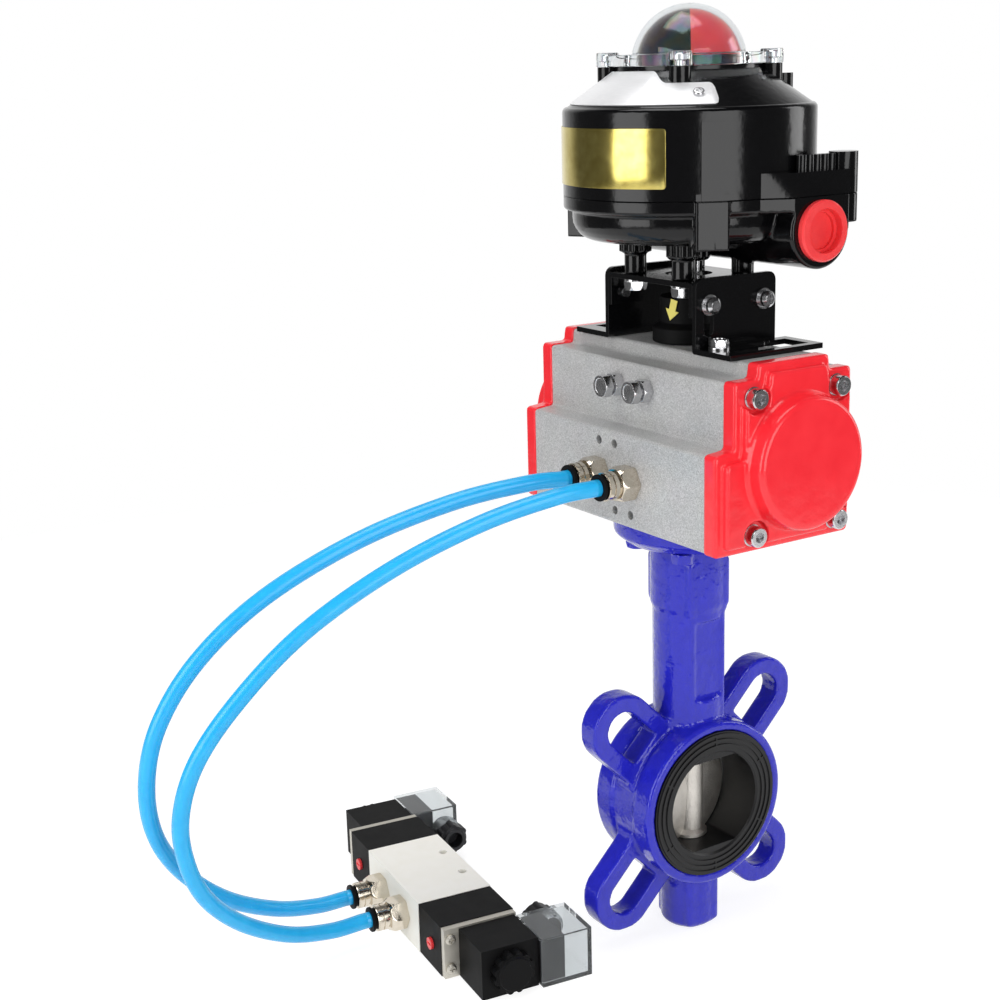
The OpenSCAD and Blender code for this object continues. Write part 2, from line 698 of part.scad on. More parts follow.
// one flank's angle from the middle of the tooth at radius r
function flank(r) = (pitch / 4 - flank_gap) / pitch_r * 180 / PI + (tan(20) - 20 * PI / 180) * 180 / PI
    - (tan(acos(base_r / r)) - acos(base_r / r) * PI / 180) * 180 / PI;
tooth_rs = [for (i = [0:5]) base_r + 0.001 + (tip_r - base_r) * i / 5];
pinion_points = [for (k = [0:tooth_n - 1]) let (m = 90 + 360 * k / tooth_n)
    each concat([root_r * [cos(m - flank(base_r + 0.001)), sin(m - flank(base_r + 0.001))]],
        [for (r = tooth_rs) r * [cos(m - flank(r)), sin(m - flank(r))]],
        [for (i = [5:-1:0]) tooth_rs[i] * [cos(m + flank(tooth_rs[i])), sin(m + flank(tooth_rs[i]))]],
        [root_r * [cos(m + flank(base_r + 0.001)), sin(m + flank(base_r + 0.001))]])];

module pinion() {
    z0 = cyl_z - rack_w / 2 - 1;
    z1 = cyl_z + rack_w / 2 + 1;
    color([0.72, 0.72, 0.73]) difference() {
        union() {
            zcyl(journal_r, act_z0 + 0.1, z0);
            translate([0, 0, z0 - 0.1]) linear_extrude(z1 - z0 + 0.2) polygon(pinion_points);
            zcyl(upper_r, z1, act_z1 + 3.4);
            zcyl(stub_r, act_z1 + 3.3, stub_z);
        }
        rotate(rest_open) {
            box([-drive_sq / 2 - fit, -drive_sq / 2 - fit, act_z0 - 1],
                [drive_sq / 2 + fit, drive_sq / 2 + fit, act_z0 + 15]);
            box([-20, -tongue / 2 - fit, slot_z], [20, tongue / 2 + fit, stub_z + 1]);
        }
        zring(upper_r - 1, upper_r + 3, act_z1 + 1.2, act_z1 + 2.5);
    }
}

module pinion_bearings() {
    color([0.9, 0.88, 0.8]) {
        zring(journal_r + run, journal_r + bear_t, act_z0 + 0.5, act_z0 + 9.5);
        zring(upper_r + run, upper_r + bear_t, cam_z1 + 2, act_z1 - 0.2);
        zring(upper_r + 0.1, upper_r + 3.6, act_z1 + 0.05, act_z1 + 1.1);
    }
}

// the cam as it stands on the closed stop: two flat faces a quarter turn apart
module stop_cam() {
    color([0.5, 0.5, 0.52]) rotate(rest_open) difference() {
        union() {
            intersection() {
                zcyl(cam_r, cam_z0, cam_z1);
                box([-cam_face, -cam_face, cam_z0 - 1], [20, 20, cam_z1 + 1]);
            }
            zcyl(cam_hub_r, cam_z0, cam_z1);
        }
        zcyl(upper_r + fit, cam_z0 - 1, cam_z1 + 1);
    }
}

module circlip() {
    color([0.5, 0.5, 0.5]) difference() {
        zring(upper_r - 0.9, upper_r + 2.6, act_z1 + 1.3, act_z1 + 2.4);
        box([2, -3, act_z1], [20, 3, act_z1 + 4]);
    }
}

// a piston at the +X end with its rack on the -Y side
module piston() {
    x1 = piston_in + piston_l;
    half = pitch / 4 - flank_gap;
    n0 = ceil((-rack_tip) / pitch - 0.5);
    n1 = floor(piston_in / pitch - 0.5);
    color([0.8, 0.8, 0.8]) difference() {
        union() {
            xcyl(piston_r, piston_in, x1, 0, cyl_z);
            translate([0, 0, cyl_z - rack_w / 2]) linear_extrude(rack_w) {
                translate([-rack_tip, -rack_back])
                    square([rack_tip + piston_in + 1, rack_back - pitch_r - 1.25 * tooth_m]);
                for (i = [n0:n1]) translate([(i + 0.5) * pitch, -pitch_r]) polygon([
                    [-half - 1.5 * tooth_m * tan(20), -1.5 * tooth_m],
                    [half + 1.5 * tooth_m * tan(20), -1.5 * tooth_m],
                    [half - tooth_m * tan(20), tooth_m], [-half + tooth_m * tan(20), tooth_m]]);
            }
        }
        difference() {
            xcyl(piston_r + 1, x1 - 5.2, x1 - 2.4, 0, cyl_z);
            xcyl(piston_r - 2, x1 - 6, x1, 0, cyl_z);
        }
        xcyl(piston_r - 7, x1 - 8, x1 + 1, 0, cyl_z);
    }
}

module piston_right() {
    piston();
}

module piston_left() {
    rotate([0, 0, 180]) piston();
}

module piston_ring() {
    x1 = piston_in + piston_l;
    color([0.05, 0.05, 0.05]) difference() {
        xcyl(cyl_r - 0.05, x1 - 5.1, x1 - 2.5, 0, cyl_z);
        xcyl(piston_r - 1.9, x1 - 6, x1, 0, cyl_z);
    }
}

module piston_ring_right() {
    piston_ring();
}

module piston_ring_left() {
    rotate([0, 0, 180]) piston_ring();
}

module guide_pad() {
    color([0.9, 0.9, 0.85]) intersection() {
        xcyl(cyl_r - 0.1, -rack_tip + 3, 14, 0, cyl_z);
        box([-rack_tip + 3, -cyl_r - 1, cyl_z - 6], [14, -rack_back - 0.02, cyl_z + 6]);
    }
}

module guide_pad_right() {
    guide_pad();
}

module guide_pad_left() {
    rotate([0, 0, 180]) guide_pad();
}

module stop_bolts() {
    color([0.78, 0.78, 0.8]) for (s = [-1, 1]) translate([s * stop_x, -wall_y - 6.6, stop_z])
        rotate([90, 0, 0]) hex_bolt(stop_r, wall_y + 6.6 - cam_face - 0.2, 10, 4.2);
    color([0.74, 0.74, 0.76]) for (s = [-1, 1]) translate([s * stop_x, -wall_y - 0.05, stop_z])
        rotate([90, 0, 0]) difference() {
            intersection() {
                cylinder(r = 5.8, h = 5, $fn = 6);
                translate([0, 0, -3]) cylinder(r1 = 8.4, r2 = 4.9, h = 8.6);
            }
            translate([0, 0, -1]) cylinder(r = stop_r + fit, h = 7);
        }
}

// ---- indicator, bracket --------------------------------------------------------------

module position_puck() {
    color([0.08, 0.08, 0.08]) difference() {
        union() {
            zcyl(17, act_z1 + 0.3, act_z1 + 7.2);
            translate([0, 0, act_z1 + 7.2]) cylinder(r1 = 17, r2 = 13.6, h = 2.4);
            zcyl(13.6, act_z1 + 9.5, act_z1 + 21.5);
        }
        zcyl(13.2, act_z1, act_z1 + 3.5);
        zcyl(stub_r + fit, act_z1, stub_z + 0.5);
        zcyl(shaft_r + 0.6, act_z1, act_z1 + 30);
    }
}

module puck_arrow() {
    color([0.91, 0.85, 0.38]) rotate(-72) translate([13.62, 0, act_z1 + 16]) rotate([90, 14, 90])
        linear_extrude(0.5) polygon([[-1.8, 5], [1.8, 5], [1.8, 0], [3.6, 0], [0, -5], [-3.6, 0], [-1.8, 0]]);
}

// one upright with its foot, at the +X side; the slot for its screw is at the side k along Y
module bracket_side(k) {
    z0 = act_z1 + 0.02;
    h = upright_h / 2;
    x = upright_x - sheet;
    color([0.05, 0.05, 0.05]) difference() {
        union() {
            box([x, -bracket_y, z0 + 1.5], [upright_x, bracket_y, z0 + h]);
            translate([x, 0, z0 + h]) rotate([90, 0, 90]) linear_extrude(sheet) polygon(rounded(
                [[-bracket_y, -9], [bracket_y, -9], [bracket_y, h], [-bracket_y, h]], 4));
            box([x + 1.5, -bracket_y, z0], [bracket_foot_x, foot_y, z0 + sheet]);
            intersection() {
                translate([x + 1.5, bracket_y, z0 + 1.5]) rotate([90, 0, 0])
                    cylinder(r = 1.5, h = 2 * bracket_y);
                box([x, -bracket_y, z0], [upright_x, bracket_y, z0 + 2]);
            }
        }
        xcyl(2.7, upright_x - 5, upright_x + 5, -k * side_screw_y, side_screw_z);
        translate([0, k * side_screw_y, 0]) {
            box([upright_x - 5, -2.7, z0 + 10], [upright_x + 5, 2.7, side_screw_z]);
            for (z = [z0 + 10, side_screw_z]) xcyl(2.7, upright_x - 5, upright_x + 5, 0, z);
        }
        zcyl(2.75, z0 - 1, z0 + 4, foot_bolt_x, -k * foot_bolt_y);
        zcyl(2.75, z0 - 1, z0 + 4, foot_bolt_x, k * foot_bolt_y);
        box([foot_bolt_x + 6, -foot_bolt_y, z0 - 1], [bracket_foot_x - 4, foot_y - 5, z0 + 4]);
        if (k < 0) box([upright_x + 4, 3, z0 - 1], [bracket_foot_x - 4, foot_y - 5, z0 + 4]);
    }
}

module bracket_right() {
    bracket_side(-1);
}

module bracket_left() {
    mirror([1, 0, 0]) bracket_side(1);
}

module bracket_bridge() {
    x = upright_x - sheet - 0.02;
    color([0.05, 0.05, 0.05]) difference() {
        union() {
            box([-x + 1.5, -bracket_y, bridge_z - sheet], [x - 1.5, bracket_y, bridge_z]);
            for (s = [0, 180]) rotate([0, 0, s]) {
                box([x - sheet, -bracket_y, bridge_z - 15.5], [x, bracket_y, bridge_z - 1.5]);
                intersection() {
                    translate([x - 1.5, bracket_y, bridge_z - 1.5]) rotate([90, 0, 0])
                        cylinder(r = 1.5, h = 2 * bracket_y);
                    box([x - sheet, -bracket_y, bridge_z - 2], [x, bracket_y, bridge_z]);
                }
            }
        }
        zcyl(11, bridge_z - 5, bridge_z + 1);
        corners(leg_xy, leg_xy) zcyl(3.2, bridge_z - 5, bridge_z + 1);
        for (s = [-1, 1]) xcyl(2.5 + fit, -x - 1, x + 1, s * side_screw_y, side_screw_z);
    }
}

module bracket_screws() {
    color([0.8, 0.8, 0.82]) {
        for (s = [0, 180]) rotate([0, 0, s]) for (i = [-1, 1])
            translate([upright_x + 0.02, i * side_screw_y, side_screw_z]) rotate([0, 90, 0]) {
                zring(2.6, 4.8, 0, 1);
                zring(2.6, 4, 1, 2);
                translate([0, 0, 2]) pan_screw(2.5, 9, 3.8, 3.2);
            }
        for (s = [0, 180]) rotate(s) translate([foot_bolt_x, -foot_bolt_y, act_z1 + 0.04 + sheet]) {
            zring(2.6, 4.8, 0, 1);
            translate([0, 0, 1]) hex_bolt(2.5, sheet + 8, 8, 3.5);
        }
    }
}

module box_bolts() {
    color([0.8, 0.8, 0.82]) corners(leg_xy, leg_xy) translate([0, 0, bridge_z - sheet]) rotate([180, 0, 0]) {
        zring(3.1, 5.4, 0, 1.2);
        translate([0, 0, 1.2]) hex_bolt(3, sheet + 11, 9.6, 4);
    }
}

// ---- limit switch box ----------------------------------------------------------------

pad_a = [-29, -151];
pad_screw = bowl_r + 1.2;
ear_x = 58;
ear_y = 41;
shelf_z = seam_z + 10.6;

// plan of the shelf that joins the round wall to a conduit's end face, at the +X side
module shelf(z0, z1) {
    translate([0, 0, z0]) linear_extrude(z1 - z0) polygon([[0, -6.8], [box_r - 0.4, -6.8],
        [conduit_x, conduit_y - conduit_r + 1.5], [conduit_x, ext_y], [0, ext_y]]);
}

module switch_housing() {
    w = box_wall;
    color([0.04, 0.04, 0.04]) difference() {
        union() {
            translate([0, 0, bowl_z]) rotate_extrude() polygon(concat([[0, 0]],
                [for (a = [-90:15:0]) [bowl_r - 10 + 10 * cos(a), 10 + 10 * sin(a)]],
                [[bowl_r, bowl_h - 6.8], [box_r - 0.8, bowl_h - 6.4], [box_r, bowl_h - 5.6],
                    [box_r, bowl_h], [0, bowl_h]]));
            xcyl(conduit_r, -conduit_x + 0.8, conduit_x - 0.8, conduit_y, conduit_z);
            for (s = [0, 180]) translate([s == 0 ? conduit_x - 0.8 : -conduit_x + 0.8, conduit_y, conduit_z])
                rotate([0, 90 - s, 0]) cylinder(r1 = conduit_r, r2 = conduit_r - 0.8, h = 0.8);
            box([-conduit_x, conduit_y - conduit_r + 1.5, conduit_z], [conduit_x, ext_y, seam_z]);
            both_x() shelf(seam_z - 6.4, seam_z);
            for (s = [-1, 1]) zcyl(6.5, seam_z - 13, seam_z, s * ear_x, ear_y);
            for (a = pad_a) rotate(a) box([bowl_r - 12, -7.3, bowl_z - 1], [box_r + 1.2, 7.3, seam_z]);
            corners(leg_xy, leg_xy) {
                zcyl(6.2, bowl_z - 7.5, bowl_z + 2);
                for (a = [0:45:315]) rotate(a) zcyl(1.7, bowl_z - 7, bowl_z + 2, 6, 0, 20);
                zcyl(5.2, bridge_z + 0.02, bowl_z);
            }
            zcyl(8.8, bowl_z - 11, bowl_z + 4);
            for (a = [0:30:330]) rotate(a) zcyl(1.6, bowl_z - 10.4, bowl_z + 2, 8.6, 0, 20);
        }
        zcyl(bowl_r - w, bowl_z + w, seam_z + 1);
        both_x() xcyl(conduit_bore, 30, conduit_x + 1, conduit_y, conduit_z);
        corners(leg_xy, leg_xy) zcyl(3 + fit, bridge_z - 1, bridge_z + 12);
        zcyl(shaft_r + 1.9 + fit, bowl_z - 20, seam_z);
        difference() {
            zcyl(bowl_r - w + 2.6, seam_z - 2, seam_z + 1);
            zcyl(bowl_r - w + 0.4, seam_z - 3, seam_z + 2);
        }
        for (a = pad_a) rotate(a) {
            zcyl(2.2, bowl_z - 3, seam_z + 1, pad_screw);
            zcyl(3.6, bowl_z - 3, bowl_z + 3.5, pad_screw);
        }
        for (s = [-1, 1]) {
            zcyl(2.2, seam_z - 16, seam_z + 1, s * ear_x, ear_y);
            zcyl(3.9, seam_z - 30, seam_z - 8.6, s * ear_x, ear_y);
        }
        box([-80, 0, seam_z], [80, 60, seam_z + 9]);
    }
}

module switch_cover() {
    w = box_wall;
    k = cone_h / (box_r - 2.5 - top_r);
    color([0.04, 0.04, 0.04]) difference() {
        union() {
            rotate_extrude() polygon(concat([[0, seam_z + 0.03], [box_r, seam_z + 0.03]],
                [for (a = [0:22.5:90]) [box_r - 2.5 + 2.5 * cos(a), cone_z - 2.5 + 2.5 * sin(a)]],
                [[top_r, cone_z + cone_h], [top_r, top_z], [0, top_z]]));
            for (a = pad_a) rotate(a) {
                box([box_r - 10, -5, seam_z + 0.03], [box_r + 0.9, 5, wall_z - 5]);
                box([box_r - 10, -7.3, seam_z + 0.03], [box_r + 0.5, 7.3, seam_z + 3]);
            }
            corners(tab_xy, tab_xy) zcyl(4.8, cone_z + 5, top_z);
            rotate(71) zcyl(4.5, wall_z - 3, cone_z + 12.5, box_r - 12);
            both_x() {
                shelf(seam_z + 0.03, shelf_z);
                zcyl(6.5, seam_z + 0.03, seam_z + 18, ear_x, ear_y);
                for (i = [0:4]) zcyl(2.3, shelf_z - 1, seam_z + 17.5, ear_x + 1, 15 + 4.4 * i, 24);
                box([ear_x - 8, 14, shelf_z - 1], [ear_x + 0.5, 36, seam_z + 17]);
            }
        }
        difference() {
            rotate_extrude() polygon([[0, seam_z - 1], [box_r - w, seam_z - 1], [box_r - w, cone_z - w],
                [top_r - w, cone_z - w + k * (box_r - top_r)], [top_r - w, top_z - 3], [0, top_z - 3]]);
            for (a = pad_a) rotate(a) box([box_r - 8, -5, seam_z - 2], [box_r + 5, 5, seam_z + 14]);
        }
        zcyl(shaft_r + 0.3, wall_z, top_z + 1);
        corners(tab_xy, tab_xy) zcyl(1.5 + fit, top_z - 7, top_z + 1);
        for (a = pad_a) rotate(a) zcyl(2 + fit, seam_z - 1, seam_z + 12, pad_screw);
        for (s = [-1, 1]) zcyl(2 + fit, seam_z - 1, seam_z + 14, s * ear_x, ear_y);
    }
}

module box_screws() {
    color([0.8, 0.8, 0.82]) {
        for (a = pad_a) rotate(a) translate([pad_screw, 0, bowl_z + 3.48]) rotate([180, 0, 0])
            cap_screw(2, bowl_h + 6.5, 3.4, 4);
        for (s = [-1, 1]) translate([s * ear_x, ear_y, seam_z - 8.62]) rotate([180, 0, 0])
            cap_screw(2, 20, 3.5, 4);
        corners(tab_xy, tab_xy) translate([0, 0, top_z + 2.42]) cap_screw(1.5, 8, 2.9, 3);
    }
}

module switch_shaft() {
    color([0.75, 0.75, 0.76]) rotate(rest_open) {
        zcyl(shaft_r, stub_z + 0.1, top_z + 0.6);
        intersection() {
            box([-9, -tongue / 2, slot_z + 0.2], [9, tongue / 2, stub_z + 0.2]);
            zcyl(stub_r - 0.2, slot_z, stub_z + 0.2);
        }
        zring(shaft_r - 1, shaft_r + 2.4, bowl_z + box_wall + 1.3, bowl_z + box_wall + 2.6);
    }
}

module switch_cams() {
    color([0.85, 0.2, 0.15]) rotate(rest_open) for (i = [0, 1]) translate([0, 0, seam_z + 4 + 9 * i])
        rotate(100 * i + 30) difference() {
            union() {
                cylinder(r = 11, h = 6);
                intersection() {
                    cylinder(r = 13.4, h = 6);
                    translate([0, -6, -1]) cube([20, 12, 8]);
                }
            }
            translate([0, 0, -1]) cylinder(r = shaft_r + fit, h = 8);
        }
}

module micro_switches() {
    color([0.12, 0.12, 0.13]) {
        for (i = [0, 1]) {
            box([-14, -30, seam_z + 3.6 + 9 * i], [14, -16, seam_z + 10.4 + 9 * i]);
            box([-2, -16.1, seam_z + 5.5 + 9 * i], [2, -13.8, seam_z + 8.5 + 9 * i]);
        }
        for (s = [-1, 1]) box([s * 11 - 2.5, -28, bowl_z + box_wall], [s * 11 + 2.5, -18, seam_z + 3.61]);
        box([-14, -30, seam_z + 10.39], [14, -18, seam_z + 12.61]);
    }
}

module terminal_block() {
    color([0.25, 0.45, 0.3]) {
        box([-30, 20, bowl_z + box_wall], [30, 34, bowl_z + box_wall + 3]);
        for (i = [0:5]) difference() {
            box([-27 + 9 * i, 21, bowl_z + box_wall + 2.9], [-19 + 9 * i, 33, bowl_z + box_wall + 13]);
            zcyl(2.4, bowl_z + box_wall + 9, bowl_z + box_wall + 14, -23 + 9 * i, 27);
        }
    }
}

module conduit_plugs() {
    color([0.95, 0.25, 0.22]) both_x() translate([0, conduit_y, conduit_z]) difference() {
        union() {
            xcyl(13.6, conduit_x + 0.05, conduit_x + 2.4);
            translate([conduit_x + 2.39, 0, 0]) rotate([0, 90, 0]) cylinder(r1 = 13.6, r2 = 12.8, h = 0.8);
            xcyl(conduit_bore - fit, conduit_x - 11, conduit_x + 0.1);
        }
        xcyl(9.9, conduit_x - 0.6, conduit_x + 4);
        xcyl(8.4, conduit_x - 2.2, conduit_x + 4);
    }
}

// the indicator under the dome, quarters of it black
module beacon_quarters(a0, out) {
    intersection() {
        difference() {
            translate([0, 0, dome_z]) sphere(r = dome_r - dome_wall - 0.5);
            zcyl(80, 0, top_z + 4.4);
            zcyl(out, top_z, top_z + 60);
        }
        for (a = [a0, a0 + 180]) rotate(a) box([0.02, 0.02, top_z], [40, 40, top_z + 60]);
    }
}

module beacon() {
    color([0.05, 0.05, 0.05]) {
        beacon_quarters(53, 2);
        zcyl(2.1, top_z + 0.7, top_z + 22);
        zcyl(23, top_z + 0.7, top_z + 4.4);
    }
}

module beacon_red() {
    color([0.9, 0.1, 0.12]) beacon_quarters(-37, 2.12);
}

module dome() {
    color([0.85, 0.9, 0.92, 0.35]) difference() {
        union() {
            zcyl(flange_out, top_z + 0.05, top_z + dome_flange);
            corners(tab_xy, tab_xy) zcyl(5.2, top_z + 0.05, top_z + dome_flange + 1.2);
            difference() {
                translate([0, 0, dome_z]) sphere(r = dome_r);
                zcyl(80, 0, top_z + 0.5);
            }
        }
        translate([0, 0, dome_z]) sphere(r = dome_r - dome_wall);
        zcyl(dome_r - dome_wall, top_z - 30, dome_z);
        corners(tab_xy, tab_xy) {
            zcyl(1.7, top_z - 1, top_z + 20);
            zcyl(3.2, top_z + 2.4, top_z + 20);
        }
    }
}

// ---- air fittings and tubes ----------------------------------------------------------

// a straight push-in fitting, its mouth towards -Y and its seat at y = 0
module fitting() {
    difference() {
        union() {
            ycyl(port_r - fit, 9, -0.1);
            intersection() {
                ycyl(8.7, -0.05, -9.2, 0, 0, 6);
                translate([0, 0.1, 0]) rotate([90, 0, 0]) cylinder(r1 = 8.2, r2 = 17, h = 9.6);
                translate([0, -9.2, 0]) rotate([-90, 0, 0]) cylinder(r1 = 7.4, r2 = 12, h = 9.6);
            }
            ycyl(barrel_r - 0.8, -9.1, -10.6);
            ycyl(barrel_r, -10.5, -12.6);
            ycyl(barrel_r - 0.6, -12.5, -13.4);
            ycyl(barrel_r, -13.3, -fit_l + 0.5);
            ycyl(barrel_r - 0.4, -fit_l + 0.6, -fit_l);
        }
        ycyl(2.6, 10, -20);
        ycyl(tube_r + run, -5, -20);
        ycyl(5.3, -8.5, -20);
    }
}

// the release collet of a fitting, out of its seat as it stands
module collet() {
    color([0.06, 0.06, 0.06]) difference() {
        union() {
            ycyl(5.22, -9.8, -fit_l - 2.1);
            ycyl(6.3, -fit_l - collet_stroke - 0.2, -fit_l - 2.6);
        }
        ycyl(tube_r + run, 0, -30);
    }
}

module at_port(s) {
    translate([s * port_gap / 2, -port_y, port_z]) children();
}

module at_outlet(s) {
    on_solenoid() translate([s * outlet_x, -sol_w / 2, spool_z]) children();
}

module fittings() {
    color([0.82, 0.8, 0.76]) {
        for (s = [-1, 1]) at_port(s) fitting();
        for (s = [-1, 1]) at_outlet(s) fitting();
    }
}

module collet_a() {
    at_port(-1) collet();
}

module collet_b() {
    at_port(1) collet();
}

module collet_c() {
    at_outlet(-1) collet();
}

module collet_d() {
    at_outlet(1) collet();
}

// all points of a tube, straight inside its fittings
function run_of(s, p) = concat([port(s, tube_in), port(s, tube_out), port(s, tube_out - 3)], p,
    [outlet(s, tube_out - 3), outlet(s, tube_out), outlet(s, tube_in)]);

module air_tube_a() {
    color([0.2, 0.68, 0.92]) tube(route(run_of(-1, tube_a)), tube_r - 0.02);
}

module air_tube_b() {
    color([0.2, 0.68, 0.92]) tube(route(run_of(1, tube_b)), tube_r - 0.02);
}

// ---- solenoid valve ------------------------------------------------------------------

module solenoid_block() {
    color([0.93, 0.92, 0.88]) on_solenoid() difference() {
        box([-sol_l / 2, -sol_w / 2, 0], [sol_l / 2, sol_w / 2, sol_t]);
        xcyl(spool_r + run, -sol_l, sol_l, 0, spool_z);
        for (s = [-1, 1]) {
            ycyl(port_r, -sol_w / 2 + 11, -sol_w / 2 - 1, s * outlet_x, spool_z);
            ycyl(3, 0, -sol_w / 2 + 5, s * outlet_x, spool_z);
            ycyl(4.9, sol_w / 2 + 1, sol_w / 2 - 9, s * 24, spool_z);
            ycyl(2.6, sol_w / 2 - 5, 0, s * 24, spool_z);
            zcyl(2.2, -1, sol_t + 1, s * 12.4, sol_w / 2 - 6);
        }
        ycyl(port_r, sol_w / 2 + 1, sol_w / 2 - 10, 0, spool_z);
        ycyl(3, sol_w / 2 - 5, 0, 0, spool_z);
    }
}

module spool() {
    e = sol_l / 2 - spool_stroke - 1;
    color([0.75, 0.75, 0.76]) on_solenoid() {
        xcyl(spool_r - 2.5, -e - 3, e - 3, 0, spool_z);
        for (x = [-e - 3, -e / 2 - 4.5, -6, e / 2 - 1.5 - 6, e - 9]) xcyl(spool_r, x, x + 6, 0, spool_z);
    }
}

// one pilot block with its end plate, at the +X end
module pilot() {
    difference() {
        box([sol_l / 2 + 0.05, -sol_w / 2 + 0.3, 0.05], [pilot_x, sol_w / 2 - 0.3, sol_t - 0.3]);
        ycyl(3.1, -sol_w / 2 + 8, -sol_w, button_x, button_z);
        xcyl(core_r + fit, pilot_x - 8, pilot_x + 1, coil_y, core_z);
        for (p = plate_screws) xcyl(1.6, pilot_x - 6, pilot_x + 1, p[0], p[1]);
    }
}

module pilot_blocks() {
    color([0.05, 0.05, 0.05]) on_solenoid() both_x() pilot();
}

module coils() {
    color([0.06, 0.06, 0.06]) on_solenoid() both_x() difference() {
        union() {
            box([coil_x + 0.05, coil_y - coil_w / 2, 0.05], [coil_x + coil_l, coil_y + coil_w / 2, coil_h]);
            box([coil_x + 4, plug_y - 1, 3], [coil_x + coil_l - 4, plug_y, coil_h - 3]);
        }
        xcyl(core_r + fit, coil_x - 1, coil_x + coil_l + 1, coil_y, core_z);
    }
}

module coil_nuts() {
    x = coil_x + coil_l;
    color([0.1, 0.1, 0.1]) on_solenoid() both_x()
        translate([x + 0.05, coil_y, core_z]) rotate([0, 90, 0]) {
            difference() {
                union() {
                    cylinder(r = 9.4, h = 5.2);
                    for (a = [15:30:345]) rotate(a) translate([9, 0, 0]) cylinder(r = 1.9, h = 4.8);
                    translate([0, 0, 5.1]) cylinder(r1 = 8.8, r2 = 8.2, h = 1.4);
                }
                translate([0, 0, -1]) cylinder(r = core_r + fit, h = 5);
            }
        }
}

// clear shells of the plug connectors
module plugs() {
    color([0.85, 0.9, 0.92, 0.5]) on_solenoid() both_x() difference() {
        box([plug_x, plug_y + 0.4, 0.3], [plug_x + plug_l, plug_y + plug_w, coil_h + 0.3]);
        box([plug_x + 1.6, plug_y - 1, 1.9], [plug_x + plug_l - 1.6, plug_y + plug_w - 1.6, coil_h - 1.3]);
        xcyl(6.2 + fit, plug_x - 1, plug_x + 2, gland_y, gland_z);
    }
    color([0.85, 0.9, 0.92, 0.5]) on_solenoid() both_x() difference() {
        union() {
            xcyl(7.6, plug_x - 8, plug_x - 0.05, gland_y, gland_z);
            for (x = [1.4:1.6:6.2]) xcyl(8.2, plug_x - x - 0.8, plug_x - x, gland_y, gland_z);
        }
        xcyl(6.2 + fit, plug_x - 9, plug_x + 2, gland_y, gland_z);
    }
}

// base plates, terminal blocks and cable glands of the plug connectors
module plug_inserts() {
    color([0.1, 0.1, 0.1]) on_solenoid() both_x() {
        box([plug_x + 1.7, plug_y + 0.02, 2], [plug_x + plug_l - 1.7, plug_y + plug_base, coil_h - 1.4]);
        xcyl(6.2, plug_x - 9, plug_x + 1.5, gland_y, gland_z);
        translate([plug_x - 8.05, gland_y, gland_z]) rotate([0, -90, 0]) difference() {
            union() {
                cylinder(r = 7.4, h = 7.5);
                for (a = [0:60:300]) rotate(a) translate([6.6, 0, 0]) cylinder(r = 1.9, h = 7);
                translate([0, 0, 7.4]) cylinder(r1 = 7, r2 = 6.2, h = 1.4);
            }
            translate([0, 0, 2]) cylinder(r = 4.4, h = 9);
        }
    }
}

// armature tubes through the coils, with the fixed core at the outer end, on their end plates
module core_tubes() {
    color([0.7, 0.7, 0.7]) on_solenoid() both_x() {
        difference() {
            union() {
                xcyl(core_r, pilot_x - 7.9, coil_x + coil_l + 4, coil_y, core_z);
                box([pilot_x + 0.02, -sol_w / 2 + 0.6, 0.3], [coil_x, sol_w / 2 - 0.6, sol_t - 0.6]);
            }
            xcyl(core_r - 0.8, pilot_x - 9, coil_x + coil_l - 8, coil_y, core_z);
            for (p = plate_screws) xcyl(1.7, pilot_x - 1, coil_x + 1, p[0], p[1]);
        }
        for (p = plate_screws) translate([coil_x + 0.02, p[0], p[1]]) rotate([0, 90, 0])
            pan_screw(1.5, 8, 2.6, 1.8);
    }
}

// an armature at the +X end, off its fixed core by its stroke
module plunger() {
    color([0.6, 0.6, 0.62])
        xcyl(core_r - 0.8 - run, pilot_x - 7.6, coil_x + coil_l - 8 - plunger_stroke - 0.2, coil_y, core_z);
}

module plunger_left() {
    on_solenoid() mirror([1, 0, 0]) plunger();
}

module plunger_right() {
    on_solenoid() plunger();
}

// a manual override button, its face towards -Y
module button() {
    color([0.85, 0.15, 0.25]) difference() {
        ycyl(3.1 - run, -sol_w / 2 + 5, -sol_w / 2 - 1, button_x, button_z);
        box([button_x - 2, -sol_w / 2 - 2, button_z - 0.4], [button_x + 2, -sol_w / 2 - 0.4, button_z + 0.4]);
    }
}

module button_left() {
    on_solenoid() mirror([1, 0, 0]) button();
}

module button_right() {
    on_solenoid() button();
}

valve_body();
valve_seat();
valve_disc();
upper_stem();
lower_stem();
bushes();
seals();
flange_bolts();
actuator_body();
end_cap_left();
end_cap_right();
end_cap_screws();
piston_left();
piston_right();
piston_ring_left();
piston_ring_right();
guide_pad_left();
guide_pad_right();
pinion();
pinion_bearings();
stop_cam();
circlip();
stop_bolts();
position_puck();
puck_arrow();
bracket_left();
bracket_right();
bracket_bridge();
bracket_screws();
box_bolts();
switch_housing();
switch_cover();
box_screws();
switch_shaft();
switch_cams();
micro_switches();
terminal_block();
conduit_plugs();
beacon();
beacon_red();
dome();
fittings();
collet_a();
collet_b();
collet_c();
collet_d();
air_tube_a();
air_tube_b();
solenoid_block();
spool();
pilot_blocks();
core_tubes();
coils();
coil_nuts();
plugs();
plug_inserts();
plunger_left();
plunger_right();
button_left();
button_right();
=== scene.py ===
# %% [markdown]
# # A pneumatic actuated valve
# A wafer butterfly valve stands under a rack-and-pinion air actuator. A bracket carries a
# limit switch box over it, and two blue air tubes lead to a small solenoid valve on the floor.
# The solids come in as a fixed frame in metres, +Z up, with the origin at the centre of the
# flow bore. What follows lights them, gives each piece its real finish, and models again the
# pieces whose rounded edges, castings and plates are finer than the solids show.

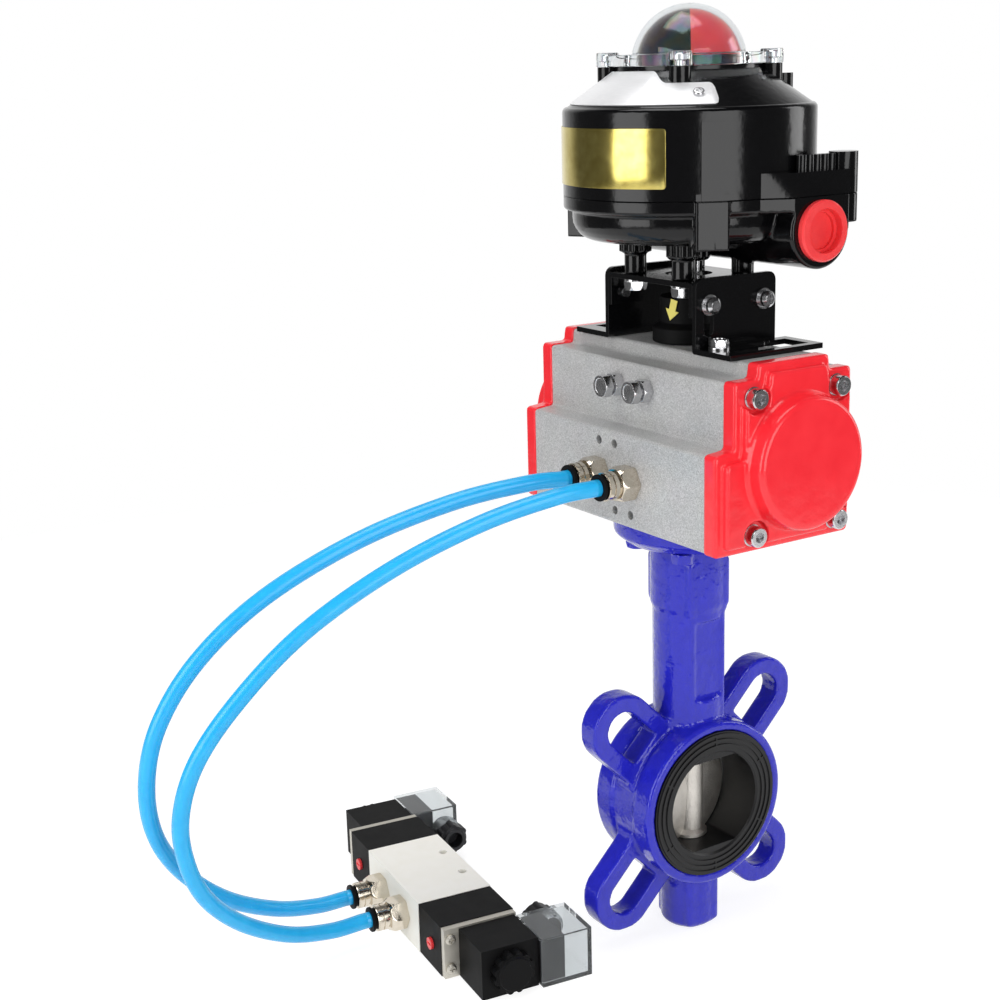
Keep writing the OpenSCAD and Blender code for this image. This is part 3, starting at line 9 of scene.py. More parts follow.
import json
import math

import bpy
from mathutils import Matrix, Vector

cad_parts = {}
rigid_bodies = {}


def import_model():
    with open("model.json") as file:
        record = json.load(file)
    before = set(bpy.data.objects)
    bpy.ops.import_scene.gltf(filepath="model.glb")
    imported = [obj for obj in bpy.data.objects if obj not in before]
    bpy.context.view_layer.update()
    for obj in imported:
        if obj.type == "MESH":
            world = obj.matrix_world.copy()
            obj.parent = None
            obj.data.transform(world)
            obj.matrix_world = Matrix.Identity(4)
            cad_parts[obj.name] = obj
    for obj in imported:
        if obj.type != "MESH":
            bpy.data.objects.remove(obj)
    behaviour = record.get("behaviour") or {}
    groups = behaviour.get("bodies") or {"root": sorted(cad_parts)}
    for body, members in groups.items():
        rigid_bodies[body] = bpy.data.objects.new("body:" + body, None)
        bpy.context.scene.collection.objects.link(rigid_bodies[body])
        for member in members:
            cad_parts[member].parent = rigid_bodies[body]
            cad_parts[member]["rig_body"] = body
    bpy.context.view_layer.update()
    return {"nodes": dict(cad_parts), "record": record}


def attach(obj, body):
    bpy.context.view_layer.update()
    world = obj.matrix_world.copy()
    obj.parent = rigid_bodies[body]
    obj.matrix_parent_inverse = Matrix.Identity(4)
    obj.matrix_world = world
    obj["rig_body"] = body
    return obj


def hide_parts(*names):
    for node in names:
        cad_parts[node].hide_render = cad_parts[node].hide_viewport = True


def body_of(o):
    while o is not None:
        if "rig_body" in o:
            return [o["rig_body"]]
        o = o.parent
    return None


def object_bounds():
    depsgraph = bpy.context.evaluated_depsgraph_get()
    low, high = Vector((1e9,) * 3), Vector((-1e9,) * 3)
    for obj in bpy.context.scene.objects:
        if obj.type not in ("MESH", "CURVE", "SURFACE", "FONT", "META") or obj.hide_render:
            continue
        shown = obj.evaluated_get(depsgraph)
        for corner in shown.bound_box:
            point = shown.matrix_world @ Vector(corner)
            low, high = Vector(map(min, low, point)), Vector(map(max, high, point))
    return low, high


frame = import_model()
nodes = frame["nodes"]

# %% [markdown]
# ## The camera
# It looks down on the valve a little, from in front of the ports and to the right of them,
# with a portrait lens. Its place is a point in metres and its direction is three angles: how
# far it turns, how far it tips down, and how far it rolls. A camera object could be turned by
# Euler angles, but building its three axes from the angles keeps the slight roll exact.

# %% Place the camera
CAMERA_AT = Vector((0.61722, -0.50119, 0.36001))
TURN_DEG, DOWN_DEG, ROLL_DEG = 57.52, 14.61, -1.6
LENS_MM, SENSOR_MM = 60.64, 36
NEAREST, FARTHEST = 0.01, 20

turn = math.radians(TURN_DEG)
down = math.radians(DOWN_DEG)
roll = math.radians(ROLL_DEG)
ahead = Vector((-math.sin(turn) * math.cos(down), math.cos(turn) * math.cos(down), -math.sin(down)))
level = Vector((math.cos(turn), math.sin(turn), 0))
upward = level.cross(ahead)
right = math.cos(roll) * level + math.sin(roll) * upward
top = -math.sin(roll) * level + math.cos(roll) * upward

scene = bpy.context.scene
lens = bpy.data.cameras.new("lens")
lens.lens = LENS_MM
lens.sensor_width = SENSOR_MM
lens.clip_start = NEAREST
lens.clip_end = FARTHEST
camera = bpy.data.objects.new("camera", lens)
camera.matrix_world = Matrix((
    (right.x, top.x, -ahead.x, CAMERA_AT.x),
    (right.y, top.y, -ahead.y, CAMERA_AT.y),
    (right.z, top.z, -ahead.z, CAMERA_AT.z),
    (0, 0, 0, 1),
))
scene.collection.objects.link(camera)
scene.camera = camera
print("camera:", tuple(round(c, 3) for c in camera.location))

# %% [markdown]
# ## The two air tubes
# Each is 8 mm polyurethane tube, stiff enough to hold one wide arch between its two push-in
# fittings. A tube could be skinned over a chain of edges, but a curve with a round bevel keeps
# the same thickness in every bend. Its line runs straight through both fittings, and between
# them through listed points, the same as in the solids, which a smooth cubic joins. First
# come the places of the fittings, in metres, and the points, in millimetres.

# %% Points of the air tubes
TUBE_R = 0.00398
PORT_X, PORT_Y, PORT_Z = 0.012, -0.0443, 0.16985
VALVE_AT = Vector((-0.080, -0.108, 0))
VALVE_TURN = math.radians(-7)
OUTLET_X, OUTLET_Y, OUTLET_Z = 0.0135, -0.020, -0.058
STRAIGHT_OUT = (0.0053, 0.0191, 0.0221)
FAR_POINTS = [(-15, -84, 170), (-24, -119, 165), (-35, -163, 152), (-45, -206, 131), (-54, -236, 105),
              (-61, -254, 76), (-66, -260, 47), (-71, -256, 19), (-76, -242, -6), (-82, -219, -29),
              (-89, -191, -46), (-95, -166, -55)]
NEAR_POINTS = [(9, -84, 168.5), (0, -119, 160), (-12, -159, 143), (-23, -198, 119), (-32, -227, 91),
               (-39, -246, 64), (-45, -253, 37), (-50, -250, 12), (-55, -240, -11), (-61, -221, -32),
               (-67, -195, -49), (-71, -170, -57)]


def at_port(side, out):
    """A point on the axis of one of the actuator's two ports, so far out of its face."""
    return Vector((side * PORT_X, PORT_Y - out, PORT_Z))


def at_valve(x, y, z):
    """A point of the solenoid valve, x along it and y across it, from its middle on the floor."""
    c, s = math.cos(VALVE_TURN), math.sin(VALVE_TURN)
    return VALVE_AT + Vector((x * c - y * s, x * s + y * c, z))


print("points set by hand:", len(FAR_POINTS), "and", len(NEAR_POINTS))

# %% [markdown]
# ### A smooth line through points
# A Catmull-Rom cubic passes through every point that it is given, with no handles to set. Each
# stretch between two points is cut into eight short steps.

# %% Draw the air tubes
STEPS = 8


def tube_line(side, points):
    """The tube's middle line, through its two fittings and the points between them."""
    stations = [at_port(side, out) for out in STRAIGHT_OUT]
    stations += [Vector(p) / 1000 for p in points]
    stations += [at_valve(side * OUTLET_X, OUTLET_Y - out, OUTLET_Z) for out in reversed(STRAIGHT_OUT)]
    line = []
    for i in range(len(stations) - 1):
        a, b = stations[max(i - 1, 0)], stations[i]
        c, d = stations[i + 1], stations[min(i + 2, len(stations) - 1)]
        for t in (k / STEPS for k in range(STEPS)):
            line.append(0.5 * (2 * b + (c - a) * t + (2 * a - 5 * b + 4 * c - d) * t**2
                               + (3 * b - a - 3 * c + d) * t**3))
    return line + [stations[-1]]


tubes = []
for name, side, points in (("tube_far", -1, FAR_POINTS), ("tube_near", 1, NEAR_POINTS)):
    line = tube_line(side, points)
    curve = bpy.data.curves.new(name, "CURVE")
    curve.dimensions = "3D"
    curve.bevel_depth = TUBE_R
    curve.bevel_resolution = 6
    curve.use_fill_caps = True
    curve.resolution_u = 1
    spline = curve.splines.new("POLY")
    spline.points.add(len(line) - 1)
    for point, place in zip(spline.points, line):
        point.co = (*place, 1)
    spline.use_smooth = True
    tube = bpy.data.objects.new(name, curve)
    scene.collection.objects.link(tube)
    bpy.ops.object.select_all(action="DESELECT")
    tube.select_set(True)
    bpy.context.view_layer.objects.active = tube
    bpy.ops.object.convert(target="MESH")
    bpy.ops.object.shade_smooth_by_angle(angle=math.radians(50))
    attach(tube, "root")
    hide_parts("air_tube_a" if side < 0 else "air_tube_b")
    tubes.append(tube)

# %% [markdown]
# ## Helpers for colours and nodes
# Colours are written as sRGB hex codes, as a paint chart gives them, and Blender's shaders
# work in linear light, so one function turns the first into the second. Another adds a node,
# sets its sockets by name or by number, and links its inputs.

# %% Colours and nodes


def colour(code):
    """A linear colour from an sRGB hex code."""
    parts = [int(code[i:i + 2], 16) / 255 for i in (0, 2, 4)]
    return (*[c / 12.92 if c <= 0.04045 else ((c + 0.055) / 1.055)**2.4 for c in parts], 1)


def node(tree, kind, settings=None, links=None):
    """Adds a node, sets its sockets and properties by name, and links its inputs."""
    made = tree.nodes.new("ShaderNode" + kind)
    for key, value in (settings or {}).items():
        if isinstance(key, int) or (key in made.inputs and not hasattr(made, key)):
            made.inputs[key].default_value = value
        else:
            setattr(made, key, value)
    for key, output in (links or {}).items():
        tree.links.new(output, made.inputs[key])
    return made


WHITE = colour("FFFFFF")
print("mid grey in linear light:", round(colour("808080")[0], 3))

# %% [markdown]
# ## The world
# It is white where the camera or a view through clear plastic meets it, and a quiet grey as a
# light. Gloss black and nickel look flat where all that they mirror is white, so in a
# reflection the world is white on the side behind the object, and falls to the dark of a
# studio's other walls and of its ceiling. A ramp round the horizon draws the walls.

# %% Light the world
QUIET = 0.32
WALL_SHADES = {0.0: 0.75, 0.07: 0.12, 0.76: 0.12, 0.86: 1.0, 0.96: 1.0, 1.0: 0.75}
CEILING = {"From Min": 0.45, "From Max": 0.8, "To Min": 1.0, "To Max": 0.15}

scene.view_settings.view_transform = "Standard"
world = bpy.data.worlds.new("studio")
scene.world = world
world.use_nodes = True
tree = world.node_tree
tree.nodes.clear()
path = node(tree, "LightPath")
camera_ray, mirror_ray = path.outputs["Is Camera Ray"], path.outputs["Is Glossy Ray"]
seen = node(tree, "Math", {"operation": "MAXIMUM"}, {0: camera_ray, 1: path.outputs["Is Transmission Ray"]})
ray = node(tree, "TexCoord").outputs["Generated"]
around = node(tree, "TexGradient", {"gradient_type": "RADIAL"}, {"Vector": ray})
walls = node(tree, "ValToRGB", links={"Fac": around.outputs["Fac"]})
walls.color_ramp.interpolation = "EASE"
stops = walls.color_ramp.elements
for place, shade in WALL_SHADES.items():
    stop = stops[0] if place == 0 else stops[-1] if place == 1 else stops.new(place)
    stop.color = (shade, shade, shade, 1)
height = node(tree, "SeparateXYZ", links={"Vector": ray}).outputs["Z"]
ceiling = node(tree, "MapRange", CEILING, {"Value": height})
shade = node(tree, "Math", {"operation": "MULTIPLY"}, {0: walls.outputs["Color"], 1: ceiling.outputs[0]})
quiet = node(tree, "Background", {"Color": WHITE, "Strength": QUIET})
mirrored = node(tree, "Background", {"Color": WHITE}, {"Strength": shade.outputs[0]})
bright = node(tree, "Background", {"Color": WHITE, "Strength": 1.0})
unseen = node(tree, "MixShader", links={0: mirror_ray, 1: quiet.outputs[0], 2: mirrored.outputs[0]})
either = node(tree, "MixShader", links={0: seen.outputs[0], 1: unseen.outputs[0], 2: bright.outputs[0]})
node(tree, "OutputWorld", links={"Surface": either.outputs[0]})
print("world:", len(tree.nodes), "nodes")

# %% [markdown]
# ## The floor
# The valve stands on a round of white paper. Part of what the camera, a mirror or clear
# plastic sees of it glows by itself, so it looks white without more light on the object, and
# the rest is matt paper that keeps the object's shadow.

# %% Lay the floor
FLOOR_R, FLOOR_Y = 0.95, -0.05
GLOW, GLOW_SHARE = 1.3, 0.64

bpy.ops.object.select_all(action="DESELECT")
bpy.ops.mesh.primitive_circle_add(vertices=128, radius=FLOOR_R, fill_type="NGON",
                                  location=(0, FLOOR_Y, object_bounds()[0].z))
floor = bpy.context.object
floor.name = "floor"
paper = bpy.data.materials.new("white_paper")
paper.use_nodes = True
tree = paper.node_tree
tree.nodes.clear()
matt = node(tree, "BsdfDiffuse", {"Color": colour("F4F4F4")})
glow = node(tree, "Emission", {"Color": WHITE, "Strength": GLOW})
path = node(tree, "LightPath")
camera_ray, mirror_ray = path.outputs["Is Camera Ray"], path.outputs["Is Glossy Ray"]
plain = node(tree, "Math", {"operation": "MAXIMUM"}, {0: camera_ray, 1: mirror_ray})
seen = node(tree, "Math", {"operation": "MAXIMUM"},
            {0: plain.outputs[0], 1: path.outputs["Is Transmission Ray"]})
share = node(tree, "Math", {"operation": "MULTIPLY", 1: GLOW_SHARE}, {0: seen.outputs[0]})
either = node(tree, "MixShader", links={0: share.outputs[0], 1: matt.outputs[0], 2: glow.outputs[0]})
node(tree, "OutputMaterial", links={"Surface": either.outputs[0]})
floor.data.materials.append(paper)
print("floor:", 2 * FLOOR_R, "m across")

# %% [markdown]
# ## Soft boxes
# Tall soft boxes, 81 degrees apart, draw the long bright bands that gloss black and nickel
# need, and one overhead fills the top faces. A spotlight would leave a small hard highlight,
# and a wide rectangle of even light gives a calm one.

# %% Hang the lamps
AWAY, FLOOR_EDGE, TOP_EDGE = 1.15, -0.05, 0.95
LEFT_DEG, RIGHT_DEG, RIM_DEG = -92, -11, 70


def soft_box(name, turn_deg, away, low, high, width, shine):
    """A lamp that stands round the object, facing its middle, with an even shine."""
    light = bpy.data.lights.new(name, "AREA")
    light.shape = "RECTANGLE"
    light.size = width
    light.size_y = high - low
    light.energy = shine * math.pi * width * (high - low)
    lamp = bpy.data.objects.new(name, light)
    side = Vector((math.cos(math.radians(turn_deg)), math.sin(math.radians(turn_deg)), 0))
    lamp.location = side * away + Vector((0, 0, (low + high) / 2))
    lamp.rotation_euler = (-side).to_track_quat("-Z", "Y").to_euler()
    scene.collection.objects.link(lamp)
    return lamp


soft_box("left_box", LEFT_DEG, AWAY, FLOOR_EDGE, TOP_EDGE, 0.66, 3.3)
soft_box("right_box", RIGHT_DEG, AWAY, FLOOR_EDGE, TOP_EDGE, 0.72, 3.1)
soft_box("rim_box", RIM_DEG, AWAY, FLOOR_EDGE, TOP_EDGE, 0.4, 3.3)
top_box = soft_box("top_box", 0, 0, 1.3, 2.0, 0.8, 3.3)
top_box.location = (-0.1, -0.15, 1.3)
top_box.rotation_euler = (0, 0, 0)

# %% [markdown]
# ## Finishes
# Every finish is one Principled shader with a pattern in Object coordinates, which are metres
# here, so a noise of scale 1 / size draws lumps of that real size. `start` makes the material
# and its shader, and hands back what the next lines need to add the pattern.

# %% A way to start each finish
finishes = {}


def start(slot, **settings):
    """A new material for a slot: its node tree, its shader and its object coordinates."""
    made = bpy.data.materials.new(slot)
    made.use_nodes = True
    tree = made.node_tree
    tree.nodes.clear()
    sockets = {key.replace("_", " "): value for key, value in settings.items()}
    shader = node(tree, "BsdfPrincipled", sockets)
    node(tree, "OutputMaterial", links={"Surface": shader.outputs[0]})
    finishes[slot] = made
    return tree, shader, node(tree, "TexCoord").outputs["Object"]


def per(size_mm):
    """The scale at which a noise has lumps of that size."""
    return 1000 / size_mm


print("lumps of 5 mm need a noise of scale", per(5))

# %% [markdown]
# ### Blue enamel on cast iron
# The body is sand cast and dipped or sprayed with a thick glossy enamel. Sand leaves shallow
# lumps a few millimetres across, and the enamel pools over them, so highlights wander. Two
# noises give that: lumps of 5 mm, and a finer orange peel of 1.3 mm.

# %% Blue enamel
tree, shader, where = start("blue_enamel", Roughness=0.13)
lumps = node(tree, "TexNoise", {"Scale": per(5), "Detail": 2.0, "Roughness": 0.5}, {"Vector": where})
peel = node(tree, "TexNoise", {"Scale": per(1.3), "Detail": 1.0}, {"Vector": where})
first = node(tree, "Bump", {"Strength": 0.85, "Distance": 0.0007}, {"Height": lumps.outputs["Fac"]})
both = node(tree, "Bump", {"Strength": 0.45, "Distance": 0.0002},
            {"Height": peel.outputs["Fac"], "Normal": first.outputs[0]})
tint = node(tree, "Mix", {"data_type": "RGBA", 6: colour("2022AC"), 7: colour("2A2CC6")},
            {0: lumps.outputs["Fac"]})
tree.links.new(tint.outputs[2], shader.inputs["Base Color"])
tree.links.new(both.outputs[0], shader.inputs["Normal"])
print("blue enamel:", len(tree.nodes), "nodes")

# %% [markdown]
# ### Red paint on die-cast alloy
# The end caps are pressure die cast, smoother than sand casting, and wet painted. The paint
# shows an orange peel of 1.6 mm and a slow waviness, of 9 mm, on the round boss.

# %% Red paint
tree, shader, where = start("red_paint", Roughness=0.16)
wave = node(tree, "TexNoise", {"Scale": per(9), "Detail": 1.0}, {"Vector": where})
peel = node(tree, "TexNoise", {"Scale": per(1.6), "Detail": 2.0}, {"Vector": where})
first = node(tree, "Bump", {"Strength": 0.35, "Distance": 0.0005}, {"Height": wave.outputs["Fac"]})
both = node(tree, "Bump", {"Strength": 0.3, "Distance": 0.00015},
            {"Height": peel.outputs["Fac"], "Normal": first.outputs[0]})
tint = node(tree, "Mix", {"data_type": "RGBA", 6: colour("F02430"), 7: colour("FC353E")},
            {0: wave.outputs["Fac"]})
tree.links.new(tint.outputs[2], shader.inputs["Base Color"])
tree.links.new(both.outputs[0], shader.inputs["Normal"])
print("red paint:", len(tree.nodes), "nodes")

# %% [markdown]
# ### Hard anodised aluminium
# The actuator body is an extrusion that is bead blasted and hard anodised. Blasting leaves
# pits of a few tenths of a millimetre, drawn here at 0.45 mm so that they show, and the grey
# of the oxide layer changes from pit to pit. Extrusion leaves faint lines along its length.

# %% Hard anodised aluminium
tree, shader, where = start("anodised", Metallic=0.3, Roughness=0.48)
grit = node(tree, "TexNoise", {"Scale": per(0.45), "Detail": 3.0, "Roughness": 0.7}, {"Vector": where})
cloud = node(tree, "TexNoise", {"Scale": per(14), "Detail": 2.0}, {"Vector": where})
along = node(tree, "Mapping", {"Scale": (0.02, 1, 1)}, {"Vector": where})
lines = node(tree, "TexNoise", {"Scale": per(0.5), "Detail": 1.0}, {"Vector": along.outputs[0]})
speck = node(tree, "ValToRGB", links={"Fac": grit.outputs["Fac"]})
pit, crest = speck.color_ramp.elements
pit.position = 0.3
pit.color = colour("929290")
crest.position = 0.68
crest.color = colour("E0E0DD")
shade = node(tree, "Mix", {"data_type": "RGBA", "blend_type": "MULTIPLY", 0: 0.25},
             {6: speck.outputs[0], 7: cloud.outputs["Color"]})
soft = node(tree, "HueSaturation", {"Saturation": 0.15, "Value": 1.12}, {"Color": shade.outputs[2]})
tree.links.new(soft.outputs[0], shader.inputs["Base Color"])
first = node(tree, "Bump", {"Strength": 0.35, "Distance": 0.00012}, {"Height": grit.outputs["Fac"]})
both = node(tree, "Bump", {"Strength": 0.1, "Distance": 0.0001},
            {"Height": lines.outputs["Fac"], "Normal": first.outputs[0]})
tree.links.new(both.outputs[0], shader.inputs["Normal"])
print("anodised aluminium:", len(tree.nodes), "nodes")

# %% [markdown]
# ### Gloss black coat
# The switch box is die-cast alloy under a thick gloss powder coat, and the bracket is bent
# sheet steel under the same. Powder melts into a smooth skin with a wide, shallow orange peel
# of 2 to 3 mm, which breaks the long edges of the reflections a little, and fine dust in it
# makes the gloss uneven.

# %% Gloss black coats
COATS = [
    ("black_coat", "050506", 3.2, 0.00016),
    ("black_sheet", "070708", 2.2, 0.0001),
]
for slot, base, peel_mm, depth in COATS:
    tree, shader, where = start(slot, Specular_IOR_Level=0.36)
    peel = node(tree, "TexNoise", {"Scale": per(peel_mm), "Detail": 2.0, "Roughness": 0.45},
                {"Vector": where})
    dust = node(tree, "TexNoise", {"Scale": per(0.6), "Detail": 2.0}, {"Vector": where})
    rough = node(tree, "MapRange", {"To Min": 0.08, "To Max": 0.2}, {"Value": dust.outputs["Fac"]})
    bump = node(tree, "Bump", {"Strength": 0.4, "Distance": depth}, {"Height": peel.outputs["Fac"]})
    tint = node(tree, "Mix", {"data_type": "RGBA", 6: colour(base), 7: colour("0A0A0C")},
                {0: peel.outputs["Fac"]})
    tree.links.new(tint.outputs[2], shader.inputs["Base Color"])
    tree.links.new(rough.outputs[0], shader.inputs["Roughness"])
    tree.links.new(bump.outputs[0], shader.inputs["Normal"])
    print(slot, "has a peel of", peel_mm, "mm")

# %% [markdown]
# ### Black rubber and black plastics
# The seat is moulded rubber, dull with a faint bloom. The coils, pilots, plug parts and the
# release collets are glass-filled nylon from a spark-eroded mould, whose grain is drawn at
# 0.35 mm so that it shows and gives a satin black. The indicator's black quarters are
# polished. Each line gives two colours, two ends of the roughness, a grain and its depth.

# %% Rubber and black plastics
BLACKS = [
    ("black_rubber", "0B0B0C", "151517", 0.3, 0.45, 0.8, 0.0001),
    ("black_plastic", "060607", "0D0D0E", 0.5, 0.64, 0.35, 0.00006),
    ("gloss_black", "040405", "08080A", 0.12, 0.2, 3.0, 0.00003),
    ("grey_plastic", "18181A", "242427", 0.4, 0.55, 0.35, 0.00006),
]
for slot, dark, pale, rough_low, rough_high, grain_mm, depth in BLACKS:
    tree, shader, where = start(slot, Specular_IOR_Level=0.12 if slot == "black_plastic" else 0.35)
    grain = node(tree, "TexNoise", {"Scale": per(grain_mm), "Detail": 3.0, "Roughness": 0.6},
                 {"Vector": where})
    bloom = node(tree, "TexNoise", {"Scale": per(7), "Detail": 3.0}, {"Vector": where})
    tint = node(tree, "Mix", {"data_type": "RGBA", 6: colour(dark), 7: colour(pale)},
                {0: bloom.outputs["Fac"]})
    rough = node(tree, "MapRange", {"To Min": rough_low, "To Max": rough_high},
                 {"Value": bloom.outputs["Fac"]})
    bump = node(tree, "Bump", {"Strength": 0.5, "Distance": depth}, {"Height": grain.outputs["Fac"]})
    tree.links.new(tint.outputs[2], shader.inputs["Base Color"])
    tree.links.new(rough.outputs[0], shader.inputs["Roughness"])
    tree.links.new(bump.outputs[0], shader.inputs["Normal"])
    print(slot, "has a grain of", grain_mm, "mm")

# %% [markdown]
# ### Coloured plastics and paints
# The conduit plugs, the override buttons and the red of the indicator are injection mouldings.
# The air tube is extruded polyurethane: a clear resin with pigment, so light goes a little way
# in. The solenoid valve's block is painted cream, and the arrow on the puck yellow. Flow lines
# and a slight unevenness of the pigment keep them all from looking flat. The last number of a
# line is how far light goes in, in millimetres.

# %% Coloured plastics and paints
COLOURED = [
    ("red_plastic", "E8323A", "F64848", 0.24, 0.36, 0.6),
    ("green_plastic", "2F6B3C", "3C7C49", 0.4, 0.5, 0.0),
    ("white_plastic", "E4E0D2", "F0ECE0", 0.4, 0.5, 0.5),
    ("blue_tube", "1CABEC", "2EBDF6", 0.2, 0.3, 1.2),
    ("yellow_paint", "E2D45A", "EEE070", 0.4, 0.5, 0.0),
    ("cream_paint", "F6F3E8", "FCFAF3", 0.4, 0.52, 0.0),
]
for slot, dark, pale, rough_low, rough_high, depth_mm in COLOURED:
    soak = 0.15 if depth_mm else 0.0
    tree, shader, where = start(slot, Subsurface_Weight=soak, Subsurface_Scale=depth_mm / 1000)
    flow = node(tree, "TexNoise", {"Scale": per(6), "Detail": 3.0, "Distortion": 0.4}, {"Vector": where})
    fine = node(tree, "TexNoise", {"Scale": per(0.5), "Detail": 2.0}, {"Vector": where})
    tint = node(tree, "Mix", {"data_type": "RGBA", 6: colour(dark), 7: colour(pale)},
                {0: flow.outputs["Fac"]})
    rough = node(tree, "MapRange", {"To Min": rough_low, "To Max": rough_high},
                 {"Value": flow.outputs["Fac"]})
    bump = node(tree, "Bump", {"Strength": 0.3, "Distance": 0.00005}, {"Height": fine.outputs["Fac"]})
    tree.links.new(tint.outputs[2], shader.inputs["Base Color"])
    tree.links.new(rough.outputs[0], shader.inputs["Roughness"])
    tree.links.new(bump.outputs[0], shader.inputs["Normal"])
    print(slot, "lets light in by", depth_mm, "mm")

# %% [markdown]
# ### Bare and plated metals
# The disc is investment cast steel: matt, warm grey, with a grain of 0.8 mm. Stems and the
# spool are turned and ground. Screws are zinc plated, the fittings are nickel-plated brass,
# slightly warm, the plates at the coils' ends are satin nickel, and the plate on the switch
# box's wall is gilt. Inside, the bushes are bronze and the pistons cast alloy. Each has its
# own grain and a blotchy roughness where it was handled.

# %% Metals
METALS = [
    ("disc_nickel", "C2BDB6", "E6E2DB", 0.34, 0.5, 0.8, 0.0008),
    ("steel", "B4B4B6", "C8C8CA", 0.22, 0.34, 0.3, 0.00003),
    ("zinc_screws", "C4C4C6", "DEDEE0", 0.14, 0.26, 0.8, 0.00005),
    ("nickel_brass", "CBC0AE", "E6DED0", 0.1, 0.2, 1.2, 0.00003),
    ("bronze", "A5793F", "B98B4E", 0.35, 0.5, 0.25, 0.00005),
    ("cast_alloy", "A9A9AB", "BDBDBF", 0.4, 0.55, 0.9, 0.0002),
    ("satin_nickel", "C2BEB4", "D6D2C8", 0.42, 0.55, 0.3, 0.00003),
    ("gold_plate", "BBA54A", "E4D684", 0.12, 0.2, 0.4, 0.00002),
]
for slot, dark, pale, rough_low, rough_high, grain_mm, depth in METALS:
    tree, shader, where = start(slot, Metallic=1.0)
    grain = node(tree, "TexNoise", {"Scale": per(grain_mm), "Detail": 3.0, "Roughness": 0.6},
                 {"Vector": where})
    touch = node(tree, "TexNoise", {"Scale": per(5), "Detail": 3.0}, {"Vector": where})
    tint = node(tree, "Mix", {"data_type": "RGBA", 6: colour(dark), 7: colour(pale)},
                {0: touch.outputs["Fac"]})
    rough = node(tree, "MapRange", {"To Min": rough_low, "To Max": rough_high},
                 {"Value": touch.outputs["Fac"]})
    bump = node(tree, "Bump", {"Strength": 0.5, "Distance": depth}, {"Height": grain.outputs["Fac"]})
    tree.links.new(tint.outputs[2], shader.inputs["Base Color"])
    tree.links.new(rough.outputs[0], shader.inputs["Roughness"])
    tree.links.new(bump.outputs[0], shader.inputs["Normal"])
    print(slot, "has a grain of", grain_mm, "mm")

# %% [markdown]
# ### Satin printed aluminium
# The plate on the cone is thin aluminium sheet under a pale satin lacquer, so it is nearly
# white and only half mirrors what is round it. Rolling leaves fine streaks along the sheet.

# %% Satin aluminium
tree, shader, where = start("silver_plate", Metallic=0.25)
along = node(tree, "Mapping", {"Scale": (0.1, 0.1, 1)}, {"Vector": where})
streaks = node(tree, "TexNoise", {"Scale": per(0.35), "Detail": 2.0}, {"Vector": along.outputs[0]})
tint = node(tree, "Mix", {"data_type": "RGBA", 6: colour("E4E4E6"), 7: colour("F2F2F3")},
            {0: streaks.outputs["Fac"]})
rough = node(tree, "MapRange", {"To Min": 0.24, "To Max": 0.4}, {"Value": streaks.outputs["Fac"]})
bump = node(tree, "Bump", {"Strength": 0.3, "Distance": 0.00002}, {"Height": streaks.outputs["Fac"]})
tree.links.new(tint.outputs[2], shader.inputs["Base Color"])
tree.links.new(rough.outputs[0], shader.inputs["Roughness"])
tree.links.new(bump.outputs[0], shader.inputs["Normal"])
print("satin aluminium:", len(tree.nodes), "nodes")

# %% [markdown]
# ### Clear polycarbonate
# The dome and the plug shells are clear mouldings with thin walls. Thin walls hardly bend
# light, so an IOR below the resin's own 1.58 keeps what lies behind them in its place. The
# plug shells are a little hazy, and moulding lines ripple both slightly. The dome is stressed
# where it was drawn out, and a film on it of a few hundred nanometres, uneven in thickness,
# gives its highlights their faint rainbow.

# %% Clear polycarbonate
CLEARS = [
    ("clear_plastic", 6, 0, 1.2, 0.96),
    ("dome_plastic", 9, 520, 1.4, 1.0),
]
for name, ripple_mm, film_nm, index, through in CLEARS:
    tree, shader, where = start(name, Base_Color=colour("E6E9EA"), Roughness=0.03, IOR=index,
                                Transmission_Weight=through)
    ripple = node(tree, "TexNoise", {"Scale": per(ripple_mm), "Detail": 1.0}, {"Vector": where})
    bump = node(tree, "Bump", {"Strength": 0.15, "Distance": 0.0002}, {"Height": ripple.outputs["Fac"]})
    tree.links.new(bump.outputs[0], shader.inputs["Normal"])
    if film_nm:
        film = node(tree, "MapRange", {"To Min": 0.6 * film_nm, "To Max": 1.4 * film_nm},
                    {"Value": ripple.outputs["Fac"]})
        tree.links.new(film.outputs[0], shader.inputs["Thin Film Thickness"])
print("finishes:", len(finishes))

# %% [markdown]
# ## Helpers for work on one piece
# An operator acts on all that is selected, so each piece is first left alone selected. A solid
# of the frame is loose triangles: a copy is merged, so that its faces share their corners.
# Corners up to 0.015 mm apart become one, which also closes the hair-thin rings that the
# solids carry where two cylinders meet.

# %% Copy a solid and merge it
MERGE_M = 0.000015


def only(piece):
    """Leaves this piece alone selected and active."""
    bpy.ops.object.select_all(action="DESELECT")
    piece.select_set(True)
    bpy.context.view_layer.objects.active = piece


def apply_all(piece):
    """Applies the piece's modifiers, in their order."""
    only(piece)
    for modifier in list(piece.modifiers):
        bpy.ops.object.modifier_apply(modifier=modifier.name)


def merged_copy(name):
    """A copy of a solid whose loose triangles are joined."""
    piece = nodes[name].copy()
    piece.data = nodes[name].data.copy()
    for key in [k for k in piece.keys() if k.startswith("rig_")]:
        del piece[key]
    piece.name = name + "_finished"
    piece.parent = None
    scene.collection.objects.link(piece)
    only(piece)
    bpy.ops.object.mode_set(mode="EDIT")
    bpy.ops.mesh.select_all(action="SELECT")
    bpy.ops.mesh.remove_doubles(threshold=MERGE_M)
    bpy.ops.object.mode_set(mode="OBJECT")
    return piece


print("corners merge within", 1000 * MERGE_M, "mm")
